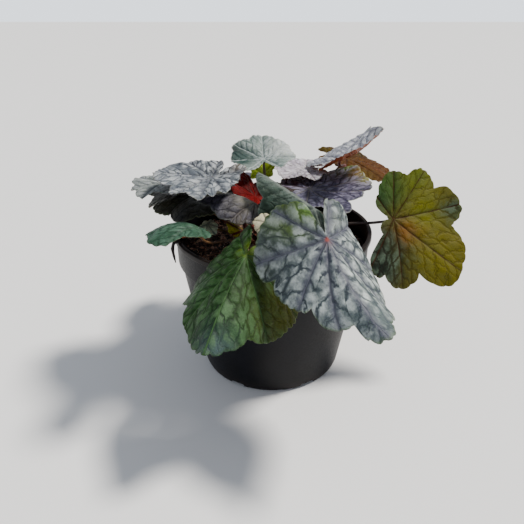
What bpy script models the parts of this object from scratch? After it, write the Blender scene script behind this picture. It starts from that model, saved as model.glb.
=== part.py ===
# A heuchera in its 13 cm nursery pot: pot, soil, crown and one solid for each leaf with its stalk.
# Sizes below are in millimetres and degrees. The origin is the middle of the pot's underside, +Z is up,
# and the side that the photograph shows faces -Y.
import math
import bpy
import bmesh
import numpy as np
from mathutils import Vector

mm = 0.001

# Pot, turned about Z
potHeight = 100.0
rimRadius = 65.0
lipHeight = 3.5
lipWidth = 1.4
collarHeight = 20.0
collarStep = 1.8
collarFoot = potHeight - collarHeight
baseRadius = 48.3
potWall = 1.3
potSides = 48
footCount = 6
footGapDegrees = 11.0
footRise = 2.0
footInner = 40.0
footOuter = 45.5
underCorner = 0.9
underRound = 3.2
edgeRound = 0.6
wallSlope = 0.08
drainCount = 6
drainRadius = 3.2
drainSides = 10
drainCircle = 33.0
drainTurn = 33.0

# Soil and crown
soilLevel = 88.0
soilSides = 40
crownRadius = 17.5
crownRise = 9.0
crownDepth = 13.0
crownShoulder = 1.5
crownSides = 28
fitGap = 0.3
socketDepth = 7.0
socketSides = 6
middleLean = 82.0
leanPerRadius = 2.6

# Leaves
bladeThickness = 0.75
stalkRadius = 1.15
hubRadius = 2.1
sinusRadius = 2.9
stalkSides = 5
stalkStep = 7.5
clearAbove = 4.0
ringShares = (0.18, 0.4, 0.62, 0.84, 1.0)
sinusReach = 0.07
valleyCut = 0.15


def lobedEdge(tips, cut=valleyCut):
    # Rows of (degrees, reach): each lobe's tip, with a valley half way to the next one.
    rows = [(tips[0][0] - 23, 0.3)]
    for here, after in zip(tips, tips[1:]):
        rows.append(here)
        valley = (1 - cut) * 0.5 * (here[1] + after[1])
        rows.append((0.5 * (here[0] + after[0]), valley))
    rows.append(tips[-1])
    rows.append((tips[-1][0] + 23, 0.3))
    return rows


sevenLobes = lobedEdge([(-145, 0.7), (-99, 0.86), (-50, 0.95), (0, 1.0), (50, 0.95), (99, 0.86), (145, 0.7)])
sevenVeins = (-145, -99, -50, 0, 50, 99, 145)
lopsidedLobes = lobedEdge([(-140, 0.45), (-95, 0.5), (-48, 0.7), (0, 0.97), (44, 0.84), (92, 0.8), (138, 0.6)])
spindleTips = [(-128, 0.32), (-95, 0.38), (-62, 0.54), (-28, 0.8), (0, 0.97), (28, 0.8),
               (62, 0.56), (95, 0.4), (128, 0.32)]
spindleLobes = lobedEdge(spindleTips, 0.08)
fiveLobes = lobedEdge([(-100, 0.75), (-50, 0.95), (0, 1.0), (50, 0.95), (100, 0.75)])
fiveVeins = (-100, -50, 0, 50, 100)

# Each leaf: joint is where stalk and blade meet; heading, pitch and roll aim the midrib;
# across and creases fold its two halves down, left then right; droop and back bend tip and base down.
# edge holds (degrees from the midrib, reach as a share of size). root is (degrees, radius) on the crown.
leaves = [
    dict(
        name="leaf_front", colour="silverGreen",
        joint=(26, -85, 130), heading=-67, pitch=-38, roll=-23, size=51,
        across=(26, 14), creases=(6, 60), droop=-18, back=-11, root=(-60, 14.5), via=((23, -52, 98),),
        edge=[(-172, 0.15), (-168, 0.45), (-152, 0.57), (-138, 0.7), (-109, 0.77), (-97, 0.83), (-86, 0.81),
              (-79, 0.68), (-70, 0.76), (-45, 0.74), (-39, 0.68), (-21, 0.88), (-13, 0.88), (-3, 1.08),
              (7, 1.14), (31, 0.94), (73, 0.86), (112, 0.8), (148, 0.61), (168, 0.2)],
        veins=(-140, -97, -50, -21, 0, 35, 73, 112, 148)),
    dict(
        name="leaf_green", colour="midGreen",
        joint=(-16, -72, 114), heading=-111, pitch=-17, roll=0, size=52,
        across=(24, 33), creases=(40, 24), droop=17, back=0, root=(-104, 14.5), via=((-11, -48, 97),),
        edge=[(-172, 0.3), (-160, 0.58), (-131, 0.5), (-111, 0.46), (-88, 0.6), (-80, 0.87), (-68, 0.92),
              (-44, 0.81), (-25, 1.0), (0, 1.18), (12, 1.07), (23, 0.92), (42, 0.97), (62, 0.9), (82, 0.87),
              (92, 0.62), (118, 0.34), (166, 0.2)],
        veins=(-145, -72, -30, 0, 42, 80, 130)),
    dict(
        name="leaf_right", colour="olive",
        joint=(77, -10, 109), heading=12, pitch=-7, roll=49, size=46,
        across=(2, 24), creases=(-15, 0), droop=-12, back=2, root=(-8, 14.5),
        edge=[(-129, 0.28), (-122, 0.7), (-108, 0.86), (-102, 0.8), (-81, 1.0), (-65, 0.85), (-47, 1.24),
              (-33, 1.17), (-6, 0.86), (9, 1.02), (28, 0.94), (36, 0.76), (55, 0.86), (73, 0.65), (90, 0.68),
              (111, 0.54), (124, 0.41), (137, 0.37), (159, 0.1)],
        veins=(-118, -82, -38, 12, 55, 90, 130)),
    dict(
        name="leaf_top_left", colour="paleSilver",
        joint=(-37, -21, 141), heading=230, pitch=-4, roll=3, size=29,
        across=(10, 2), creases=(4, -10), droop=0, back=-18, root=(210, 9.5), via=((-20, -5, 112),),
        edge=[(-172, 0.42), (-150, 0.7), (-124, 0.68), (-95, 0.85), (-66, 1.18), (-43, 1.2), (-26, 1.05),
              (-20, 0.86), (-12, 1.0), (0, 1.12), (14, 1.0), (30, 1.1), (38, 0.82), (44, 0.92), (53, 0.68),
              (64, 0.8), (80, 0.64), (108, 0.6), (130, 0.58), (152, 0.78), (168, 0.7)],
        veins=(-150, -100, -55, 0, 30, 64, 110, 152)),
    dict(
        name="leaf_low_left", colour="darkOlive",
        joint=(-45, -11, 127), heading=174, pitch=5, roll=27, size=43,
        across=(24, 0), creases=(25, -24), droop=56, back=14, root=(188, 14.5),
        edge=lobedEdge([(-145, 0.7), (-99, 0.86), (-46, 1.04), (-10, 0.84), (32, 0.82), (74, 0.92), (120, 0.68)])),
    dict(
        name="leaf_far_left", colour="paleSilver",
        joint=(-68, -3, 131), heading=192, pitch=-2, roll=1, size=27,
        across=(11, 5), creases=(-4, 0), droop=16, back=-4, root=(162, 14.5), arrive=30,
        via=((-19, 11, 125), (-46, 7, 129)),
        edge=lobedEdge([(-145, 0.7), (-99, 0.86), (-42, 1.04), (0, 0.92), (46, 0.96), (99, 0.86), (145, 0.7)])),
    dict(
        name="leaf_mid_left", colour="greyPurple",
        joint=(-11, -29, 127.5), heading=188, pitch=36, roll=0, size=38,
        across=(30, 30), creases=(32, 24), droop=62, back=20, root=(250, 9.5), edge=spindleLobes),
    dict(
        name="leaf_small_left", colour="seaGreen",
        joint=(-42, -54, 123), heading=189, pitch=29, roll=2, size=31,
        across=(15, 66), creases=(-3, 20), droop=68, back=10, root=(222, 14.5), veins=fiveVeins,
        edge=[(-134, 0.26), (-96, 0.6), (-75, 0.76), (-39, 0.77), (-11, 0.9), (5, 1.0), (16, 0.98), (32, 1.08),
              (46, 1.03), (62, 0.72), (90, 0.45), (150, 0.15)]),
    dict(
        name="leaf_red", colour="youngRed",
        joint=(-11, -5, 122), heading=167, pitch=38, roll=-2, size=23,
        across=(5, 4), creases=(-8, -7), droop=19, back=10, root=(200, 4.0), veins=fiveVeins,
        edge=[(-120, 0.3), (-72, 0.66), (-60, 0.55), (-48, 0.97), (-22, 0.62), (0, 0.8), (22, 0.62), (42, 0.88),
              (67, 0.68), (120, 0.3)]),
    dict(
        name="leaf_top", colour="silverGreen",
        joint=(-6, 15, 141), heading=93, pitch=13, roll=-1, size=26,
        across=(-4, 25), creases=(-3, -15), droop=-18, back=-9, root=(100, 4.0),
        edge=lobedEdge(
            [(-140, 0.72), (-99, 0.82), (-50, 0.83), (0, 0.98), (47, 0.96), (101, 0.83), (145, 0.77)], 0.1)),
    dict(
        name="leaf_lime", colour="lime",
        joint=(-7, 25, 127), heading=77, pitch=44, roll=-16, size=12,
        across=(10, 4), creases=(0, -8), droop=14, back=10, root=(122, 9.5), edge=fiveLobes, veins=fiveVeins),
    dict(
        name="leaf_folded", colour="seaGreen",
        joint=(24, -36, 127), heading=168, pitch=33, roll=-8, size=41,
        across=(20, 30), creases=(50, 42), droop=4, back=10, root=(-38, 14.5), edge=lopsidedLobes),
    dict(
        name="leaf_purple", colour="slateViolet",
        joint=(25, 18, 119), heading=9, pitch=1, roll=2, size=41,
        across=(5, 0), creases=(-2, 3), droop=-21, back=6, root=(30, 9.5),
        edge=[(-165, 0.3), (-150, 0.6), (-128, 0.58), (-108, 0.72), (-88, 0.68), (-67, 1.02), (-54, 0.8),
              (-42, 0.97), (-33, 0.9), (-24, 1.03), (0, 0.98), (12, 0.98), (29, 1.07), (53, 0.76), (75, 0.6),
              (98, 0.7), (124, 0.6), (148, 0.5), (168, 0.3)],
        veins=(-150, -108, -67, -28, 0, 29, 60, 98, 140)),
    dict(
        name="leaf_back_right", colour="lilacSilver",
        joint=(46, 30, 136), heading=13, pitch=21, roll=13, size=41,
        across=(23, -20), creases=(15, -30), droop=-32, back=-8, root=(40, 14.5), via=((52, 54, 121),),
        edge=lobedEdge([(-139, 0.6), (-85, 0.92), (-46, 0.88), (0, 0.88), (48, 1.0), (92, 0.75), (139, 0.64)])),
    dict(
        name="leaf_rust", colour="rust",
        joint=(59, 88, 119), heading=0, pitch=-12, roll=-6, size=41,
        across=(4, 20), creases=(-6, 0), droop=17, back=15, root=(62, 14.5), via=((38, 52, 108),),
        edge=lobedEdge([(-145, 0.7), (-95, 0.84), (-58, 1.0), (6, 0.98), (52, 0.94), (97, 0.8), (140, 0.64)])),
    dict(
        name="leaf_lilac", colour="lilacSilver",
        joint=(24, 46.5, 125.5), heading=183, pitch=4, roll=0, size=28,
        across=(14, 7), creases=(-2, 2), droop=10, back=10, root=(75, 9.5), via=((20, 42, 106),), arrive=90),
    dict(
        name="leaf_tiny", colour="paleSilver",
        joint=(-40, -32, 115), heading=-33, pitch=-35, roll=10, size=8,
        across=(11, 8), creases=(2, -4), droop=14, back=10, root=(205, 14.5), edge=fiveLobes, veins=fiveVeins),
    dict(
        name="leaf_rear", colour="midGreen",
        joint=(8, 68, 105), heading=85, pitch=-22, roll=5, size=32,
        across=(15, 15), creases=(5, 5), droop=35, back=0, root=(84, 14.5)),
    dict(
        name="leaf_rear_left", colour="silverGreen",
        joint=(-39, 59, 107), heading=135, pitch=-20, roll=0, size=33,
        across=(12, 18), creases=(8, 5), droop=35, back=0, root=(134, 14.5)),
    dict(
        name="leaf_rear_small", colour="greyPurple",
        joint=(-22, 38, 121), heading=120, pitch=-8, roll=-8, size=21,
        across=(12, 12), creases=(5, 5), droop=20, back=5, root=(109, 14.5)),
]
leafDefaults = dict(
    edge=sevenLobes, veins=sevenVeins, puff=0.05, wave=0.03, waves=6, phase=0.0, step=9.0, via=(), arrive=60)
leafColours = dict(
    silverGreen=(0.30, 0.36, 0.33), midGreen=(0.16, 0.25, 0.13), olive=(0.27, 0.27, 0.06),
    paleSilver=(0.50, 0.50, 0.50), darkOlive=(0.06, 0.07, 0.04), greyPurple=(0.20, 0.17, 0.22),
    seaGreen=(0.15, 0.28, 0.19), youngRed=(0.55, 0.10, 0.05), lime=(0.35, 0.42, 0.08),
    slateViolet=(0.22, 0.19, 0.27), lilacSilver=(0.45, 0.42, 0.48), rust=(0.34, 0.16, 0.05))


def edgeReach(leaf, theta):
    # Blade reach at an angle: eased from each row of the edge to the next, sharp in valleys and round at tips.
    degrees = (np.degrees(theta) + 180.0) % 360.0 - 180.0
    angles = np.array([-180.0] + [row[0] for row in leaf["edge"]] + [180.0])
    reaches = np.array([sinusReach] + [row[1] for row in leaf["edge"]] + [sinusReach])
    i = np.clip(np.searchsorted(angles, degrees, side="right") - 1, 0, len(angles) - 2)
    part = np.clip((degrees - angles[i]) / (angles[i + 1] - angles[i]), 0, 1)
    low = np.minimum(reaches[i], reaches[i + 1])
    high = np.maximum(reaches[i], reaches[i + 1])
    rising = np.where(reaches[i + 1] >= reaches[i], part, 1 - part)
    return low + (high - low) * np.sin(rising * math.pi / 2) ** 0.9


def spokeAngles(leaf):
    # One spoke at each row of the edge, even steps between them, and one across the sinus.
    angles = [row[0] for row in leaf["edge"]]
    spokes = []
    for here, after in zip(angles, angles[1:]):
        count = max(1, int(round((after - here) / leaf["step"])))
        spokes += [here + (after - here) * k / count for k in range(count)]
    spokes += [angles[-1], 180.0]
    return np.radians(np.array(spokes))


def bladeRelief(leaf, x, y):
    # Puffed between the main veins and waved towards the rim, as a share of size.
    reach = np.hypot(x, y)
    degrees = np.degrees(np.arctan2(y, x))
    fromVein = np.min([np.abs(degrees - vein) for vein in leaf["veins"]], axis=0)
    puff = leaf["puff"] * np.sin(np.clip(fromVein / 26.0, 0, 1) * math.pi / 2) ** 1.2
    wave = leaf["wave"] * np.sin(np.radians(degrees) * leaf["waves"] + leaf["phase"])
    return puff * np.clip(reach, 0, 1.2) * (1.25 - reach) + wave * np.clip(reach, 0, 1.3) ** 2.5


def rolled(along, height, rate, crease, span):
    # Rolls a flat strip down about its start: a crease first, then an even bend up to span.
    # The underside of a sharp crease stays on its own side.
    rate = math.radians(rate) or 1e-5
    crease = math.radians(crease)
    bent = np.minimum(np.abs(along), span)
    turn = crease + rate * bent
    straight = np.abs(along) - bent
    out = (np.sin(turn) - math.sin(crease)) / rate + straight * np.cos(turn) + height * np.sin(turn)
    up = (np.cos(turn) - math.cos(crease)) / rate - straight * np.sin(turn) + height * np.cos(turn)
    return np.sign(along) * np.maximum(out, 0.25 * bent), up


def leafAxes(leaf):
    # Midrib, left side and upper side of the blade.
    heading, pitch, roll = (math.radians(leaf[key]) for key in ("heading", "pitch", "roll"))
    midrib = np.array([math.cos(heading) * math.cos(pitch), math.sin(heading) * math.cos(pitch), math.sin(pitch)])
    level = np.array([-math.sin(heading), math.cos(heading), 0.0])
    normal = np.cross(midrib, level)
    left = math.cos(roll) * level + math.sin(roll) * normal
    return midrib, left, math.cos(roll) * normal - math.sin(roll) * level


def bladePoints(leaf, theta, share, lift):
    # Points of the bent blade at an angle and a share of the way out, lifted off its middle surface.
    # The hub keeps the stalk's top inside the innermost ring, also in the sinus.
    reach = np.maximum(edgeReach(leaf, theta), sinusRadius / leaf["size"])
    reach = reach * share + hubRadius / leaf["size"] * (1 - share)
    x = reach * np.cos(theta)
    y = reach * np.sin(theta)
    height = bladeRelief(leaf, x, y) + lift / leaf["size"]
    leftY, leftZ = rolled(y, height, leaf["across"][0], leaf["creases"][0], 1.3)
    rightY, rightZ = rolled(y, height, leaf["across"][1], leaf["creases"][1], 1.3)
    y = np.where(y >= 0, leftY, rightY)
    z = np.where(y >= 0, leftZ, rightZ)
    tipX, tipZ = rolled(x, z, leaf["droop"], 0.0, 1.4)
    baseX, baseZ = rolled(x, z, leaf["back"], 0.0, 1.4)
    z = np.where(x >= 0, tipZ, baseZ)
    x = np.where(x >= 0, tipX, baseX)
    midrib, left, normal = leafAxes(leaf)
    local = x[..., None] * midrib + y[..., None] * left + z[..., None] * normal
    return np.array(leaf["joint"], float) + leaf["size"] * local


def crownSurface(radius):
    # Height of the crown's top at a distance from the middle.
    return soilLevel + crownRise * (1 - (radius / crownRadius) ** 2)


def rootPoint(leaf):
    # Foot of the stalk in its socket, and the way it leaves the crown.
    angle, radius = math.radians(leaf["root"][0]), leaf["root"][1]
    tilt = math.radians(middleLean - leanPerRadius * radius)
    out = np.array([math.cos(angle), math.sin(angle), 0.0])
    direction = out * math.cos(tilt) + np.array([0, 0, math.sin(tilt)])
    top = out * radius + np.array([0, 0, crownSurface(radius)])
    return top - direction * socketDepth, direction


def stalkPath(leaf):
    # Smooth path from under the blade, deeper where the blade is folded, down into the crown.
    midrib, left, normal = leafAxes(leaf)
    foot, direction = rootPoint(leaf)
    folded = math.tan(math.radians(max(0, *leaf["creases"])))
    joint = np.array(leaf["joint"], float) - normal * (bladeThickness * 0.5 + stalkRadius * folded)
    points = [foot, foot + direction * (socketDepth + clearAbove)]
    points += [np.array(place, float) for place in leaf["via"]] + [joint]
    slope = math.radians(leaf["arrive"])
    ways = [direction, direction]
    for before, after in zip(points[1:], points[3:]):
        ways.append((after - before) / np.linalg.norm(after - before))
    ways.append(math.sin(slope) * normal + math.cos(slope) * midrib)
    path = []
    for here, after, leaving, coming in zip(points, points[1:], ways, ways[1:]):
        span = np.linalg.norm(after - here)
        steps = max(2, int(round(span / stalkStep)))
        for s in np.arange(steps) / steps:
            path.append(here * (2 * s**3 - 3 * s**2 + 1) + span * leaving * (s**3 - 2 * s**2 + s)
                        + after * (3 * s**2 - 2 * s**3) + span * coming * (s**3 - s**2))
    path.append(points[-1])
    return np.array(path)[::-1]


def zipRings(inner, innerAngles, outer, outerAngles):
    # Triangles between two closed rings that go round the same way.
    innerAngles = np.append(innerAngles, innerAngles[0] + 2 * math.pi)
    outerAngles = np.append(outerAngles, outerAngles[0] + 2 * math.pi)
    faces = []
    i = j = 0
    while i < len(inner) or j < len(outer):
        here, beside = inner[i % len(inner)], outer[j % len(outer)]
        if j < len(outer) and (i >= len(inner) or outerAngles[j + 1] <= innerAngles[i + 1] + 1e-9):
            j += 1
            faces.append((here, beside, outer[j % len(outer)]))
        else:
            i += 1
            faces.append((here, beside, inner[i % len(inner)]))
    return faces


def leafMesh(leaf):
    # One closed skin: upper side, rim, underside and the stalk drawn out of it.
    spokes = spokeAngles(leaf)
    sinus = spokes[-2:]
    quarter = np.append(spokes[:-2:4], sinus)
    half = np.append(spokes[:-2:2], sinus)
    rings = list(zip(ringShares, (quarter, half, half, spokes, spokes)))
    points = []
    faces = []

    def add(rows):
        first = len(points)
        points.extend(rows.tolist())
        return list(range(first, len(points)))

    skin = bladeThickness * 0.5
    upper = [add(bladePoints(leaf, angles, share, skin)) for share, angles in rings]
    lower = [add(bladePoints(leaf, angles, share, -skin)) for share, angles in rings]
    midrib, left, normal = leafAxes(leaf)
    centre = add((np.array(leaf["joint"], float) + normal * skin)[None])[0]
    for i, here in enumerate(upper[0]):
        faces.append((centre, here, upper[0][(i + 1) % len(upper[0])]))
    for k in range(len(rings) - 1):
        strip = zipRings(upper[k], rings[k][1], upper[k + 1], rings[k + 1][1])
        faces += strip
        faces += [(a, c, b) for a, b, c in zipRings(lower[k], rings[k][1], lower[k + 1], rings[k + 1][1])]
    for i in range(len(spokes)):
        j = (i + 1) % len(spokes)
        faces += [(upper[-1][i], lower[-1][i], lower[-1][j]), (upper[-1][i], lower[-1][j], upper[-1][j])]

    path = stalkPath(leaf)
    tangents = np.gradient(path, axis=0)
    tangents[0] = -normal
    turns = np.arange(stalkSides) * 2 * math.pi / stalkSides
    side = midrib
    hoops = []
    for place, tangent in zip(path, tangents):
        tangent = tangent / np.linalg.norm(tangent)
        side = side - side.dot(tangent) * tangent
        side = side / np.linalg.norm(side)
        other = np.cross(side, tangent)
        hoop = place + stalkRadius * (np.cos(turns)[:, None] * side + np.sin(turns)[:, None] * other)
        hoops.append(add(hoop))
    order = np.argsort(rings[0][1] % (2 * math.pi))
    firstAngles = (rings[0][1] % (2 * math.pi))[order]
    firstRing = [lower[0][i] for i in order]
    faces += [(a, c, b) for a, b, c in zipRings(hoops[0], turns, firstRing, firstAngles)]
    for here, after in zip(hoops, hoops[1:]):
        for i in range(stalkSides):
            j = (i + 1) % stalkSides
            faces += [(here[j], here[i], after[i]), (here[j], after[i], after[j])]
    foot = add(path[-1][None])[0]
    for i in range(stalkSides):
        faces.append((hoops[-1][(i + 1) % stalkSides], hoops[-1][i], foot))
    return np.array(points), faces


leaves = [{**leafDefaults, **leaf} for leaf in leaves]


def material(name, colour, roughness):
    made = bpy.data.materials.new(name)
    made.use_nodes = True
    shader = made.node_tree.nodes["Principled BSDF"]
    shader.inputs["Base Color"].default_value = (*colour, 1.0)
    shader.inputs["Roughness"].default_value = roughness
    made.diffuse_color = (*colour, 1.0)
    return made


def meshObject(name, points, faces, surface, smooth=True):
    mesh = bpy.data.meshes.new(name)
    mesh.from_pydata([tuple(point) for point in np.array(points) * mm], [], faces)
    mesh.update()
    if smooth:
        mesh.shade_smooth()
    mesh.materials.append(surface)
    made = bpy.data.objects.new(name, mesh)
    bpy.context.collection.objects.link(made)
    return made


def turnedMesh(rows, sides):
    # Closed skin from rows of rings, the first and last of which are single points on the axis.
    # A row is a function of the turn (degrees) that gives radius and height.
    points = [(0.0, 0.0, rows[0](0.0)[1])]
    faces = []
    rings = []
    for row in rows[1:-1]:
        first = len(points)
        for k in range(sides):
            turn = 360.0 * k / sides
            radius, height = row(turn)
            points.append((radius * math.cos(math.radians(turn)), radius * math.sin(math.radians(turn)), height))
        rings.append(list(range(first, first + sides)))
    points.append((0.0, 0.0, rows[-1](0.0)[1]))
    last = len(points) - 1
    for k in range(sides):
        after = (k + 1) % sides
        faces.append((0, rings[0][after], rings[0][k]))
        faces.append((last, rings[-1][k], rings[-1][after]))
        for here, above in zip(rings, rings[1:]):
            faces.append((here[k], here[after], above[after], above[k]))
    return points, faces


def fixed(radius, height):
    return lambda turn: (radius, height)


def footed(radius, height):
    # A ring of the foot, lifted at the gaps between the feet; a foot faces the front.
    def row(turn):
        fromFoot = abs((turn + 90.0 + 180.0 / footCount) % (360.0 / footCount) - 180.0 / footCount)
        lifted = fromFoot > 180.0 / footCount - footGapDegrees / 2
        return radius, height + (footRise if lifted else 0.0)
    return row


def potRadius(height):
    # Outer radius of the tapered wall below the collar.
    wallTop = rimRadius - lipWidth - collarHeight * wallSlope * 0.3 - collarStep
    return baseRadius + (wallTop - baseRadius) * (height - underRound) / (collarFoot - underRound)


collarInner = potRadius(collarFoot) + collarStep - potWall


def potOutside():
    # Under the middle, over the feet, up the wall, out at the collar and round the lip.
    return [
        fixed(0.0, 0.0),
        fixed(footInner - footRise, 0.0),
        footed(footInner, 0.0),
        footed(footOuter, 0.0),
        footed(baseRadius - underCorner, underCorner),
        fixed(baseRadius, underRound),
        fixed(potRadius(2 * underRound), 2 * underRound),
        fixed(potRadius(collarFoot - edgeRound), collarFoot - edgeRound),
        fixed(potRadius(collarFoot) + collarStep, collarFoot + edgeRound),
        fixed(rimRadius - lipWidth, potHeight - lipHeight - edgeRound),
        fixed(rimRadius - edgeRound / 2, potHeight - lipHeight),
        fixed(rimRadius, potHeight - 2 * edgeRound),
        fixed(rimRadius - edgeRound, potHeight),
    ]


def potInside():
    # The same way back, one wall further in.
    return [
        fixed(rimRadius - lipWidth - potWall + edgeRound, potHeight),
        fixed(rimRadius - lipWidth - potWall, potHeight - 2 * edgeRound),
        fixed(collarInner, collarFoot + potWall),
        fixed(potRadius(collarFoot) - potWall, collarFoot - potWall),
        fixed(potRadius(2 * underRound) - potWall, 2 * underRound),
        footed(baseRadius - underCorner - potWall, potWall + edgeRound),
        footed(footInner + edgeRound, potWall),
        fixed(footInner - footRise - edgeRound, potWall),
        fixed(0.0, potWall),
    ]


def cutWith(target, cutters):
    # Cuts each closed cutter out of the target and removes the cutters.
    for cutter in cutters:
        modifier = target.modifiers.new("cut", "BOOLEAN")
        modifier.operation = "DIFFERENCE"
        modifier.solver = "EXACT"
        modifier.object = cutter
        bpy.context.view_layer.update()
        evaluated = target.evaluated_get(bpy.context.evaluated_depsgraph_get())
        mesh = bpy.data.meshes.new_from_object(evaluated)
        old = target.data
        target.modifiers.clear()
        target.data = mesh
        bpy.data.meshes.remove(old)
        bpy.data.objects.remove(cutter)
    bm = bmesh.new()
    bm.from_mesh(target.data)
    bmesh.ops.triangulate(bm, faces=bm.faces)
    bm.to_mesh(target.data)
    bm.free()
    target.data.shade_smooth()


def rodCutter(start, direction, length, radius, sides):
    # A closed round bar, to be cut out of a solid.
    bm = bmesh.new()
    bmesh.ops.create_cone(
        bm, cap_ends=True, segments=sides, radius1=radius * mm, radius2=radius * mm, depth=length * mm)
    mesh = bpy.data.meshes.new("cutter")
    bm.to_mesh(mesh)
    bm.free()
    made = bpy.data.objects.new("cutter", mesh)
    bpy.context.collection.objects.link(made)
    way = Vector(direction).normalized()
    made.rotation_euler = way.to_track_quat("Z", "Y").to_euler()
    made.location = (Vector(start) + way * length / 2) * mm
    return made


def makePot():
    points, faces = turnedMesh(potOutside() + potInside(), potSides)
    pot = meshObject("pot", points, faces, material("potPlastic", (0.018, 0.018, 0.022), 0.45))
    drains = []
    for k in range(drainCount):
        turn = math.radians(360.0 * k / drainCount + drainTurn)
        start = (drainCircle * math.cos(turn), drainCircle * math.sin(turn), -1.0)
        drains.append(rodCutter(start, (0, 0, 1), potWall + 2.0, drainRadius, drainSides))
    cutWith(pot, drains)


def soilHeight(radius, turn):
    # Lumpy potting mix, lower where it meets the pot.
    angle = math.radians(turn)
    x, y = radius * math.cos(angle), radius * math.sin(angle)
    lumps = math.sin(0.31 * x + 1.0) * math.sin(0.27 * y + 0.4) + 0.5 * math.sin(0.83 * x - 0.5 * y)
    return soilLevel + 0.9 * lumps - 1.5 * (radius / rimRadius) ** 4


def makeSoil():
    # Fills the pot from its floor to the soil level, with a hollow that the crown sits in.
    play = 2 * fitGap
    floor = potWall + footRise + fitGap
    hole = crownRadius + fitGap
    rows = [
        fixed(0.0, floor),
        fixed(baseRadius - footRise - potWall, floor + fitGap),
        fixed(potRadius(2.5 * underRound) - potWall - play, 2.5 * underRound),
        fixed(potRadius(collarFoot) - potWall - play, collarFoot - potWall - play),
        fixed(collarInner - play, collarFoot + potWall + play),
    ]
    for radius in (collarInner - play, 54.0, 46.0, 38.0, 30.0, 23.0, hole):
        rows.append(lambda turn, radius=radius: (radius, soilHeight(radius, turn)))
    rows += [
        fixed(hole, soilLevel - crownShoulder - fitGap),
        fixed(hole * 0.9, soilLevel - crownDepth * 0.55 - fitGap),
        fixed(hole * 0.6, soilLevel - crownDepth * 0.9 - fitGap),
        fixed(0.0, soilLevel - crownDepth - fitGap),
    ]
    points, faces = turnedMesh(rows, soilSides)
    meshObject("soil", points, faces, material("pottingMix", (0.035, 0.02, 0.013), 0.95))


def crownRow(radius):
    # A knobbly ring of the crown's top, gathered towards the middle.
    def row(turn):
        angle = math.radians(turn)
        knobs = 0.6 * math.sin(5 * angle + radius) + 0.4 * math.sin(9 * angle - 0.7 * radius)
        return radius * (1 + 0.02 * knobs), crownSurface(radius) + 0.5 * knobs * (1 - radius / crownRadius)
    return row


def makeCrown():
    rows = [
        fixed(0.0, soilLevel - crownDepth),
        fixed(crownRadius * 0.6, soilLevel - crownDepth * 0.9),
        fixed(crownRadius * 0.9, soilLevel - crownDepth * 0.55),
        fixed(crownRadius, soilLevel - crownShoulder),
        fixed(crownRadius * 0.97, soilLevel + 2.6),
        crownRow(13.5),
        crownRow(9.0),
        crownRow(4.5),
        fixed(0.0, crownSurface(0.0)),
    ]
    points, faces = turnedMesh(rows, crownSides)
    crown = meshObject("crown", points, faces, material("crownBark", (0.10, 0.045, 0.03), 0.85))
    sockets = []
    for leaf in leaves:
        foot, direction = rootPoint(leaf)
        start = foot - direction * (stalkRadius * 0.2 + fitGap)
        sockets.append(rodCutter(start, direction, 2 * crownDepth, stalkRadius + fitGap, socketSides))
    cutWith(crown, sockets)


def makeLeaves():
    surfaces = {}
    for leaf in leaves:
        colour = leaf["colour"]
        if colour not in surfaces:
            surfaces[colour] = material(colour, leafColours[colour], 0.5)
        points, faces = leafMesh(leaf)
        meshObject(leaf["name"], points, faces, surfaces[colour])


for old in list(bpy.data.objects):
    bpy.data.objects.remove(old)
makePot()
makeSoil()
makeCrown()
makeLeaves()
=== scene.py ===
import math
import bpy
import bmesh
import numpy as np
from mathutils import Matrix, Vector


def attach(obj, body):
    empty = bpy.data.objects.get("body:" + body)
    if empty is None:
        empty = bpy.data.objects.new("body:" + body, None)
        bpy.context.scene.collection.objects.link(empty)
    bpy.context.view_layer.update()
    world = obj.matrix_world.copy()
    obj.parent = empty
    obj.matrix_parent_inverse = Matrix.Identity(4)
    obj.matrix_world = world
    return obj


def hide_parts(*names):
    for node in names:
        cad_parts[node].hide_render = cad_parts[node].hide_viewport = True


# A heuchera in its nursery pot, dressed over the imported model.
# In the dictionaries lengths are millimetres, angles are degrees and colours are 0 to 255, as on a screen.
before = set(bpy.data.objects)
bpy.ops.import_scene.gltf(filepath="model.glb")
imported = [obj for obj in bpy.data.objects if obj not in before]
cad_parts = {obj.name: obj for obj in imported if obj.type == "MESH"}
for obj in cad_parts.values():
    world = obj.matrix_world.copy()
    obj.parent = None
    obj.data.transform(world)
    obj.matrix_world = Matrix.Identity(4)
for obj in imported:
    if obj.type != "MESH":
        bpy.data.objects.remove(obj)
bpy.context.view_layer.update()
mm = 0.001


def paint(red, green, blue, vivid=1.15, deep=1.22):
    # a screen colour made linear for a shader and a little deeper and more vivid
    shares = [part / 255 for part in (red, green, blue)]
    linear = [(part / 12.92 if part < 0.04 else ((part + 0.055) / 1.055) ** 2.4) ** deep for part in shares]
    grey = sum(linear) / 3
    return tuple(max(0.0, grey + (part - grey) * vivid) for part in linear)


def truePaint(colour):
    # the screen colour as it is, for lamps, sky and floor
    return paint(*colour, 1.0, 1.0)


def smooth(low, high, value):
    # eased step from 0 at low to 1 at high
    part = np.clip((value - low) / (high - low), 0, 1)
    return part * part * (3 - 2 * part)


def softNoise(x, y, scale, seed=0.0):
    # smooth lattice noise from -1 to 1 over patches of that scale
    u, v = np.asarray(x) / scale, np.asarray(y) / scale
    i, j = np.floor(u), np.floor(v)
    fu, fv = u - i, v - j
    fu, fv = fu * fu * (3 - 2 * fu), fv * fv * (3 - 2 * fv)

    def corner(a, b):
        wild = np.sin(a * 127.1 + b * 311.7 + seed * 74.7) * 43758.5453
        return 2 * (wild - np.floor(wild)) - 1

    near = corner(i, j) * (1 - fu) + corner(i + 1, j) * fu
    far = corner(i, j + 1) * (1 - fu) + corner(i + 1, j + 1) * fu
    return near * (1 - fv) + far * fv


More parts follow.
